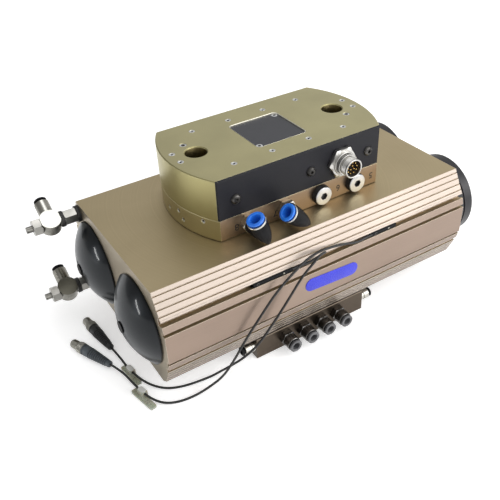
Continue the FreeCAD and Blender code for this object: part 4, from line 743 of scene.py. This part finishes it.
def plug_nut(side):
    """Knurled coupling nut with a threaded nose."""
    ribbed = flutes(PLUG_NUT_R, 0.35, PLUG_FLUTES)
    rings = [
        (PLUG_NUT_BORE_R, PLUG_NUT_START), (PLUG_NUT_R - 0.5, PLUG_NUT_START),
        (ribbed, PLUG_NUT_START + 0.4), (ribbed, PLUG_NUT_STEP - 1.2),
        (PLUG_NUT_R - 0.5, PLUG_NUT_STEP - 0.8), (PLUG_NUT_R - 0.5, PLUG_NUT_STEP),
        (PLUG_THREAD_R - 0.4, PLUG_NUT_STEP), (PLUG_THREAD_R - 0.4, PLUG_NUT_STEP + 0.8),
    ]
    rings += thread(PLUG_THREAD_R, 0.4, 1.0, PLUG_NUT_STEP + 1.0, PLUG_NUT_END - 0.6)
    rings += [(PLUG_THREAD_R - 0.5, PLUG_NUT_END), (PLUG_NUT_BORE_R, PLUG_NUT_END)]
    mesh = lathe(rings, *plug_axis(side), PLUG_FLUTES * 4, closed=True)
    node = side + "_plug_nut"
    nut = add_piece(mesh, side + "_knurled_nut", node, PLUG_NICKEL)
    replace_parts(nut, node)
    return nut


def sensor_cable(side):
    points = [Vector(point) * MM for point in CABLE_POINTS[side]]
    curve = bpy.data.curves.new(side + "_cable", "CURVE")
    curve.dimensions = "3D"
    curve.bevel_depth = CABLE_R * MM
    curve.bevel_resolution = 5
    curve.use_fill_caps = True
    spline = curve.splines.new("NURBS")
    spline.points.add(len(points) - 1)
    for control, place in zip(spline.points, points):
        control.co = (*place, 1.0)
    spline.order_u = 3
    spline.use_endpoint_u = True
    spline.resolution_u = 10
    curve.materials.append(BLACK_RUBBER_AND_SHADE)
    cable = bpy.data.objects.new(side + "_cable", curve)
    bpy.context.scene.collection.objects.link(cable)
    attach(cable, "housing")
    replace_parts(cable, side + "_sensor_cable")
    return cable


MARKER_ENDS = {
    "right": (Vector((-163.9, -58.9, -14.65)), Vector((-164.6, -56.1, -14.65))),
    "left": (Vector((-162.2, -31.6, -14.5)), Vector((-162.7, -28.4, -14.5))),
}
MARKER_R = 2.4


def marker_tag(side):
    """Pale marker pressed onto a cable's clip."""
    mesh = round_ended_plate(*MARKER_ENDS[side], MARKER_R, UPWARD)
    return add_piece(mesh, side + "_marker_tag", "housing", WHITE_TAG)


def add_cables():
    for side in ("right", "left"):
        cable = sensor_cable(side)
        # The dark rings in the grips' grooves are painted shade.
        pieces = [plug_grip(side), grip_groove_shade(side), plug_nut(side), marker_tag(side), NODES["cable_clips"]]


# Connector on the head's front cover

CONNECTOR_SEAT = Vector((37.5, FRONT_FACE, 126.0)) * MM
CONNECTOR_HEX = 24.0
CONNECTOR_CORNER = 13.9
CONNECTOR_PINS = ((9, 4.7), (3, 1.9))
INSERT_FACE = 12.3
INSERT_R = 6.8
PIN_LENGTH = 3.0
PIN_R = 0.55


def add_connector():
    """Shell with a hexagon, a smooth collar and a threaded barrel round a deep cup, and its gilt pins."""
    hexagon_rings = [
        (hexagon(CONNECTOR_HEX, CONNECTOR_HEX / 2), 0.0),
        (hexagon(CONNECTOR_HEX, CONNECTOR_CORNER), 0.9),
        (hexagon(CONNECTOR_HEX, CONNECTOR_CORNER), 3.6),
        (hexagon(CONNECTOR_HEX, CONNECTOR_HEX / 2 - 0.3), 4.5),
        (9.0, 4.5),
    ]
    barrel_rings = [
        (6.9, 4.0), (10.2, 4.0), (10.2, 6.2), (9.8, 6.6), (8.3, 6.6), (8.3, 7.4), (9.2, 7.5), (9.2, 9.4),
        (8.9, 9.7), (7.3, 9.8), (7.3, 10.8), *thread(8.2, 0.7, 1.5, 11.0, 15.5), (7.4, 15.6), (7.4, 16.1),
        (8.2, 16.2), (8.2, 17.1), (7.8, 17.5), (7.2, 17.5), (6.9, 17.2), (6.9, 6.0), (6.9, 4.2),
    ]
    nut = lathe(hexagon_rings, CONNECTOR_SEAT, OUTWARD, FINE_TURN)
    barrel = lathe(barrel_rings, CONNECTOR_SEAT, OUTWARD, FINE_TURN, closed=True)
    shell = add_piece(joined([nut, barrel]), "threaded_connector", "head", SATIN_NICKEL)
    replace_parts(shell, "connector_shell")
    insert_rings = [
        (INSERT_R - 0.3, 6.1), (INSERT_R, 6.4), (INSERT_R, INSERT_FACE), (INSERT_R - 0.3, INSERT_FACE + 0.3),
        (INSERT_R - 0.9, INSERT_FACE + 0.3), (INSERT_R - 1.0, INSERT_FACE), (0.8, INSERT_FACE),
    ]
    insert = lathe(insert_rings, CONNECTOR_SEAT, OUTWARD, TURN)
    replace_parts(add_piece(insert, "pin_insert", "head", BLACK_PLASTIC), "connector_insert")
    pins = []
    for count, circle in CONNECTOR_PINS:
        for k in range(count):
            angle = math.pi / 2 + 2 * math.pi * k / count
            foot = CONNECTOR_SEAT + Vector((circle * math.cos(angle), 0, circle * math.sin(angle))) * MM
            rings = [(PIN_R, INSERT_FACE - 0.2), (PIN_R, INSERT_FACE + PIN_LENGTH - 0.2),
                     (PIN_R * 0.8, INSERT_FACE + PIN_LENGTH + 0.05), (0.1, INSERT_FACE + PIN_LENGTH + 0.25)]
            pins.append(lathe(rings, foot, OUTWARD, PIN_TURN))
    add_piece(joined(pins), "connector_pins", "head", GOLD_CONTACT)


# Bare blue plate on the front panel

PLATE_ENDS = (Vector((-18.9, -90.0, 48.4)), Vector((22.0, -90.0, 46.2)))
PLATE_R = 6.25


def add_blue_plate():
    mesh = round_ended_plate(*PLATE_ENDS, PLATE_R, OUTWARD)
    add_piece(mesh, "blue_plate", "housing", BLUE_PLATE)


# Port numbers on the front of the distributor plate

PORT_NUMBERS = {"8": (-63.0, 100.6), "7": (-27.0, 99.8), "6": (36.0, 101.1), "5": (71.3, 101.1)}
NUMBER_SIZE = 8.2
NUMBER_DEPTH = 0.03
NUMBER_BOLDNESS = 0.12


def add_port_numbers():
    """Plain numbers, set upside down as the plate is mounted."""
    for number, (x, z) in PORT_NUMBERS.items():
        text = bpy.data.curves.new("port_number", "FONT")
        text.body = number
        text.align_x = "CENTER"
        text.align_y = "CENTER"
        text.size = NUMBER_SIZE * MM
        text.extrude = NUMBER_DEPTH * MM
        text.offset = NUMBER_BOLDNESS * MM
        holder = bpy.data.objects.new("port_number", text)
        bpy.context.scene.collection.objects.link(holder)
        mesh = bpy.data.meshes.new_from_object(holder)
        bpy.data.objects.remove(holder)
        stand_up = Matrix.Rotation(math.pi / 2, 4, "X") @ Matrix.Rotation(math.pi, 4, "Z")
        mesh.transform(Matrix.Translation(Vector((x, FRONT_FACE, z)) * MM) @ stand_up)
        add_piece(mesh, "port_number_" + number, "head", DARK_PRINT_AND_SHADE)


# Elbows: tapered bodies, bright collars and blue release rings

ELBOWS = {"left": (-1.5 * PORT_PITCH, 23.6), "right": (-0.5 * PORT_PITCH, 48.0)}
ELBOW_REACH = 23.0
ELBOW_BODY = [
    (0.6, -9.9), (1.4, -9.6), (3.2, -6.8), (4.7, -3.4), (5.9, 0.4), (6.8, 5.0), (7.2, 9.5), (7.3, 14.4),
    (6.9, 14.9), (5.4, 14.9), (5.4, 6.6), (3.8, 6.4),
]
ELBOW_BOSS = [(5.4, 6.4), (6.5, 6.8), (6.7, 8.0), (6.7, 15.0), (6.2, 19.0), (4.4, 22.5)]
ELBOW_COLLAR = [
    (6.8, 14.8), (7.4, 14.9), (7.6, 15.2), (7.6, 16.3), (7.3, 16.6), (5.6, 16.6), (5.6, 15.0), (6.8, 15.0),
]
RELEASE_RING = [
    (4.35, 8.2), (5.2, 8.2), (5.2, 17.8), (6.8, 17.8), (7.15, 18.1), (7.2, 18.9), (6.9, 19.4), (6.4, 19.6),
    (4.9, 19.6), (4.5, 19.3), (4.35, 18.7),
]


def add_elbows():
    for side, (x, tilt) in ELBOWS.items():
        lean = math.radians(tilt)
        axis = Vector((-math.sin(lean), 0, math.cos(lean)))
        seat = Vector((x, FRONT_FACE, PORT_Z)) * MM
        centre = seat + OUTWARD * ELBOW_REACH * MM
        node = side + "_elbow"
        shell = joined([lathe(ELBOW_BODY, centre, axis, TURN), lathe(ELBOW_BOSS, seat, OUTWARD, TURN)])
        body = add_piece(shell, node + "_shell", node, BLACK_PLASTIC)
        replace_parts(body, node)
        collar = lathe(ELBOW_COLLAR, centre, axis, TURN, closed=True)
        add_piece(collar, node + "_collar", node, NICKEL)
        sleeve = lathe(RELEASE_RING, centre, axis, TURN, closed=True)
        ring = add_piece(sleeve, node + "_release", node + "_ring", BLUE_PLASTIC)
        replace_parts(ring, node + "_ring")


# Painted shade in the hexagon sockets of the head's screws and plugs, the screws' rims, and the plugs' seals

OPEN_PORTS = (0.5 * PORT_PITCH, 1.5 * PORT_PITCH)
PLUG_FACE = 5.5
PLUG_R = 8.0
SCREW_ROW = 34.0
SCREW_SINK = 0.2
END_SCREWS = (84.5, 7.5)
SCREW_RIM = ((2.1, -0.1), (2.1, 0.02), (2.3, 0.05), (2.55, 0.02), (2.55, -0.1))
LARGER_SCREWS = ((-70.0, 16.5), (70.0, -16.5))
LARGER_FLATS = 3.0
LARGER_SINK = 0.3

# Angle and rise of each small plug on the round side of the plate
SIDE_PLUGS = ((176.0, 8.1), (185.9, 12.6), (189.4, 6.6), (203.7, 14.4))
SIDE_PLUG_SINK = 0.5

# Width across flats and depth
PLUG_SOCKET = (6.0, 3.9)
SCREW_SOCKET = (2.0, 2.1)
SIDE_SOCKET = (2.0, 1.5)


def socket_shade_lining(flats, depth, mouth, axis):
    """Dark lining of a hexagon socket, with a drilled centre, painted shade inside the socket."""
    wall = 0.05 * flats
    outside = hexagon(flats - 0.1, flats)
    hollow = hexagon(flats - 0.1 - 2 * wall, flats)
    rings = [(outside, 0.05 - depth), (outside, -0.15), (hollow, -0.15), (hollow, 2 * wall - depth),
             (0.3 * flats, 2 * wall - depth), (0.08 * flats, 0.5 * wall - depth)]
    return lathe(rings, mouth * MM, axis, COARSE_TURN)


def flush_screws():
    rows = [(PORT_PITCH * k, y) for k in (-1.5, -0.5, 0.5, 1.5) for y in (-SCREW_ROW, SCREW_ROW)]
    ends = [(end * END_SCREWS[0], side * END_SCREWS[1]) for end in (-1, 1) for side in (-1, 1)]
    return [Vector((x, y, HEAD_TOP)) for x, y in rows + ends]


def socket_shade_mark(flats, x, y, sunk):
    """Dark hexagon on top of a screw in the head's top, with a drilled centre, painted shade of its socket.
    """
    rings = [(hexagon(flats, flats), 0.0), (hexagon(flats - 0.1, flats), 0.12), (0.3 * flats, 0.12),
             (0.2 * flats, 0.02)]
    return lathe(rings, Vector((x, y, HEAD_TOP - sunk)) * MM, UPWARD, COARSE_TURN)


def add_socket_shade():
    plugs = [Vector((x, FRONT_FACE - PLUG_FACE, PORT_Z)) for x in OPEN_PORTS]
    cups = [socket_shade_lining(*PLUG_SOCKET, mouth, OUTWARD) for mouth in plugs]
    # Painted shade: dark cups in the port plugs' sockets.
    add_piece(joined(cups), "plug_socket_shade", "head", SHADED_STEEL)
    shade_linings = [socket_shade_lining(*SCREW_SOCKET, place - UPWARD * SCREW_SINK, UPWARD) for place in flush_screws()]
    for degrees, rise in SIDE_PLUGS:
        angle = math.radians(degrees)
        out = Vector((math.cos(angle), math.sin(angle), 0))
        mouth = out * (HEAD_R - SIDE_PLUG_SINK) + UPWARD * (PLATE_BOTTOM + rise)
        shade_linings.append(socket_shade_lining(*SIDE_SOCKET, mouth, out))
    shade_linings += [socket_shade_mark(LARGER_FLATS, x, y, LARGER_SINK) for x, y in LARGER_SCREWS]
    # Painted shade: dark cups and hexagons in the screw and side plug sockets.
    add_piece(joined(shade_linings), "screw_socket_shade", "head", BLACK_STEEL_AND_SHADE)


def add_screw_rims():
    """Bright spot face round each flush screw."""
    rims = [lathe(SCREW_RIM, place * MM, UPWARD, SMALL_TURN, closed=True) for place in flush_screws()]
    add_piece(joined(rims), "screw_rims", "head", BRIGHT_ZINC)


def add_plug_seals():
    """Black lip of each plug's seal, which covers the side of the plug."""
    rings = [(PLUG_R + 0.05, 0.3), (PLUG_R + 0.5, 0.3), (PLUG_R + 0.6, 1.0), (PLUG_R + 0.3, 3.6),
             (PLUG_R + 0.1, PLUG_FACE - 0.7), (PLUG_R + 0.02, PLUG_FACE - 0.7)]
    seats = [Vector((x, FRONT_FACE, PORT_Z)) * MM for x in OPEN_PORTS]
    lips = [lathe(rings, seat, OUTWARD, TURN, closed=True) for seat in seats]
    add_piece(joined(lips), "plug_seal_lips", "head", BLACK_RUBBER_AND_SHADE)


# Lid on the head's top. A ring of the lid or of the edge round it is a half side, a corner radius and a rise.

LID_PLATE = ((23.45, 4.15, -1.95), (23.45, 4.15, -1.1), (23.3, 4.0, -1.0))
LID_RIM = ((23.5, 4.2, -1.3), (23.5, 4.2, -0.3), (23.8, 3.9, 0.02), (23.95, 3.7, 0.02), (23.95, 3.7, -0.1))
LID_SCREW = ((1.5, -1.9), (1.5, -1.5), (2.5, -0.98), (2.7, -0.9), (2.7, -0.85), (2.5, -0.8))
LID_SCREWS = ((20.5, 20.0), (-20.5, -20.0))
LID_SCREW_FLATS = 2.4
LID_SCREW_SINK = 0.81
LID_STEPS = 288


def square_turned(rings, closed):
    outlines = [(rounded_square(half, corner_r), rise) for half, corner_r, rise in rings]
    return lathe(outlines, UPWARD * HEAD_TOP * MM, UPWARD, LID_STEPS, closed)


def add_lid():
    """Lid and its screws, a little below the head's top, and the edge of the pocket they lie in, whose pale
    tone is a painted highlight.
    """
    lid = add_piece(square_turned(LID_PLATE, False), "sunk_lid", "head", SUNK_LID)
    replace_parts(lid, "top_plate")
    # Painted highlight: the pale tone of the pocket's edge.
    add_piece(square_turned(LID_RIM, True), "lid_rim", "head", LID_EDGE_HIGHLIGHT)
    heads = [lathe(LID_SCREW, Vector((x, y, HEAD_TOP)) * MM, UPWARD, COARSE_TURN) for x, y in LID_SCREWS]
    screws = add_piece(joined(heads), "lid_screws", "head", BRIGHT_ZINC)
    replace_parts(screws, "top_plate_screws")
    # Painted shade: dark hexagons on the lid screws.
    sockets = [socket_shade_mark(LID_SCREW_FLATS, x, y, LID_SCREW_SINK) for x, y in LID_SCREWS]
    add_piece(joined(sockets), "lid_socket_shade", "head", DARK_PRINT_AND_SHADE)


# Painted shade on the walls and shoulders of the two output seats

OUTPUT_X = 67.2
SEAT_R = 9.0
SEAT_DEPTH = 12.0
SEAT_HOLE_R = 5.5


def add_seat_shade():
    wall = [(SEAT_R - 0.02, 0.1 - SEAT_DEPTH), (SEAT_R - 0.02, -1.0), (SEAT_R - 0.08, -0.9),
            (SEAT_R - 0.08, 0.1 - SEAT_DEPTH)]
    shoulder = [(SEAT_R - 0.1, 0.02 - SEAT_DEPTH), (SEAT_R - 0.1, 0.08 - SEAT_DEPTH),
                (SEAT_HOLE_R + 0.2, 0.08 - SEAT_DEPTH), (SEAT_HOLE_R + 0.1, 0.02 - SEAT_DEPTH)]
    shade_linings = []
    for x in (-OUTPUT_X, OUTPUT_X):
        mouth = Vector((x, 0, HEAD_TOP)) * MM
        shade_linings += [lathe(rings, mouth, UPWARD, TURN, closed=True) for rings in (wall, shoulder)]
    # Painted shade: darker walls and shoulders inside the seats.
    add_piece(joined(shade_linings), "output_seat_shade", "head", BORE_SHADE)


# Black bung in the middle of each domed cap

DOME_APEX = Vector((-167.6, 44.0, 45.0))
DOME_BUNG = [(5.0, -0.5), (5.0, 0.04), (4.7, 0.14), (1.4, 0.14), (0.9, 0.02)]


def add_dome_bungs():
    bungs = []
    for side in (-1, 1):
        apex = Vector((DOME_APEX.x, side * DOME_APEX.y, DOME_APEX.z))
        bungs.append(lathe(DOME_BUNG, apex * MM, Vector((-1, 0, 0)), COARSE_TURN))
    add_piece(joined(bungs), "dome_bungs", "housing", BLACK_PLASTIC)


# Clamp screw and lens of each magnetic sensor

SENSOR_FACE = Vector((0, -87.235, 69.6))
SENSOR_SPANS = ((-72.0, -36.0), (45.0, 71.0))
SENSOR_SCREW_INSET = 4.0
SENSOR_LENS_INSET = 8.0
SENSOR_SCREW = [(1.4, -0.3), (1.4, 0.12), (1.25, 0.3), (0.75, 0.3), (0.65, -0.2)]
SENSOR_LENS = [(0.85, -0.3), (0.85, 0.05), (0.65, 0.25), (0.3, 0.34)]


def add_sensor_details():
    screws = []
    lenses = []
    for start, end in SENSOR_SPANS:
        screw_place = (SENSOR_FACE + Vector((start + SENSOR_SCREW_INSET, 0, 0))) * MM
        lens_place = (SENSOR_FACE + Vector((end - SENSOR_LENS_INSET, 0, 0))) * MM
        screws.append(lathe(SENSOR_SCREW, screw_place, OUTWARD, SMALL_TURN))
        lenses.append(lathe(SENSOR_LENS, lens_place, OUTWARD, SMALL_TURN))
    add_piece(joined(screws), "sensor_screws", "housing", BLACK_STEEL_AND_SHADE)
    add_piece(joined(lenses), "sensor_lenses", "housing", PALE_LENS)


# Whole scene

bpy.context.scene.view_settings.view_transform = "Standard"
add_camera()
add_floor()
add_world()
add_lamps()
dress_nodes()
add_cables()
add_connector()
add_blue_plate()
add_port_numbers()
add_elbows()
add_socket_shade()
add_screw_rims()
add_lid()
add_plug_seals()
add_seat_shade()
add_dome_bungs()
add_sensor_details()
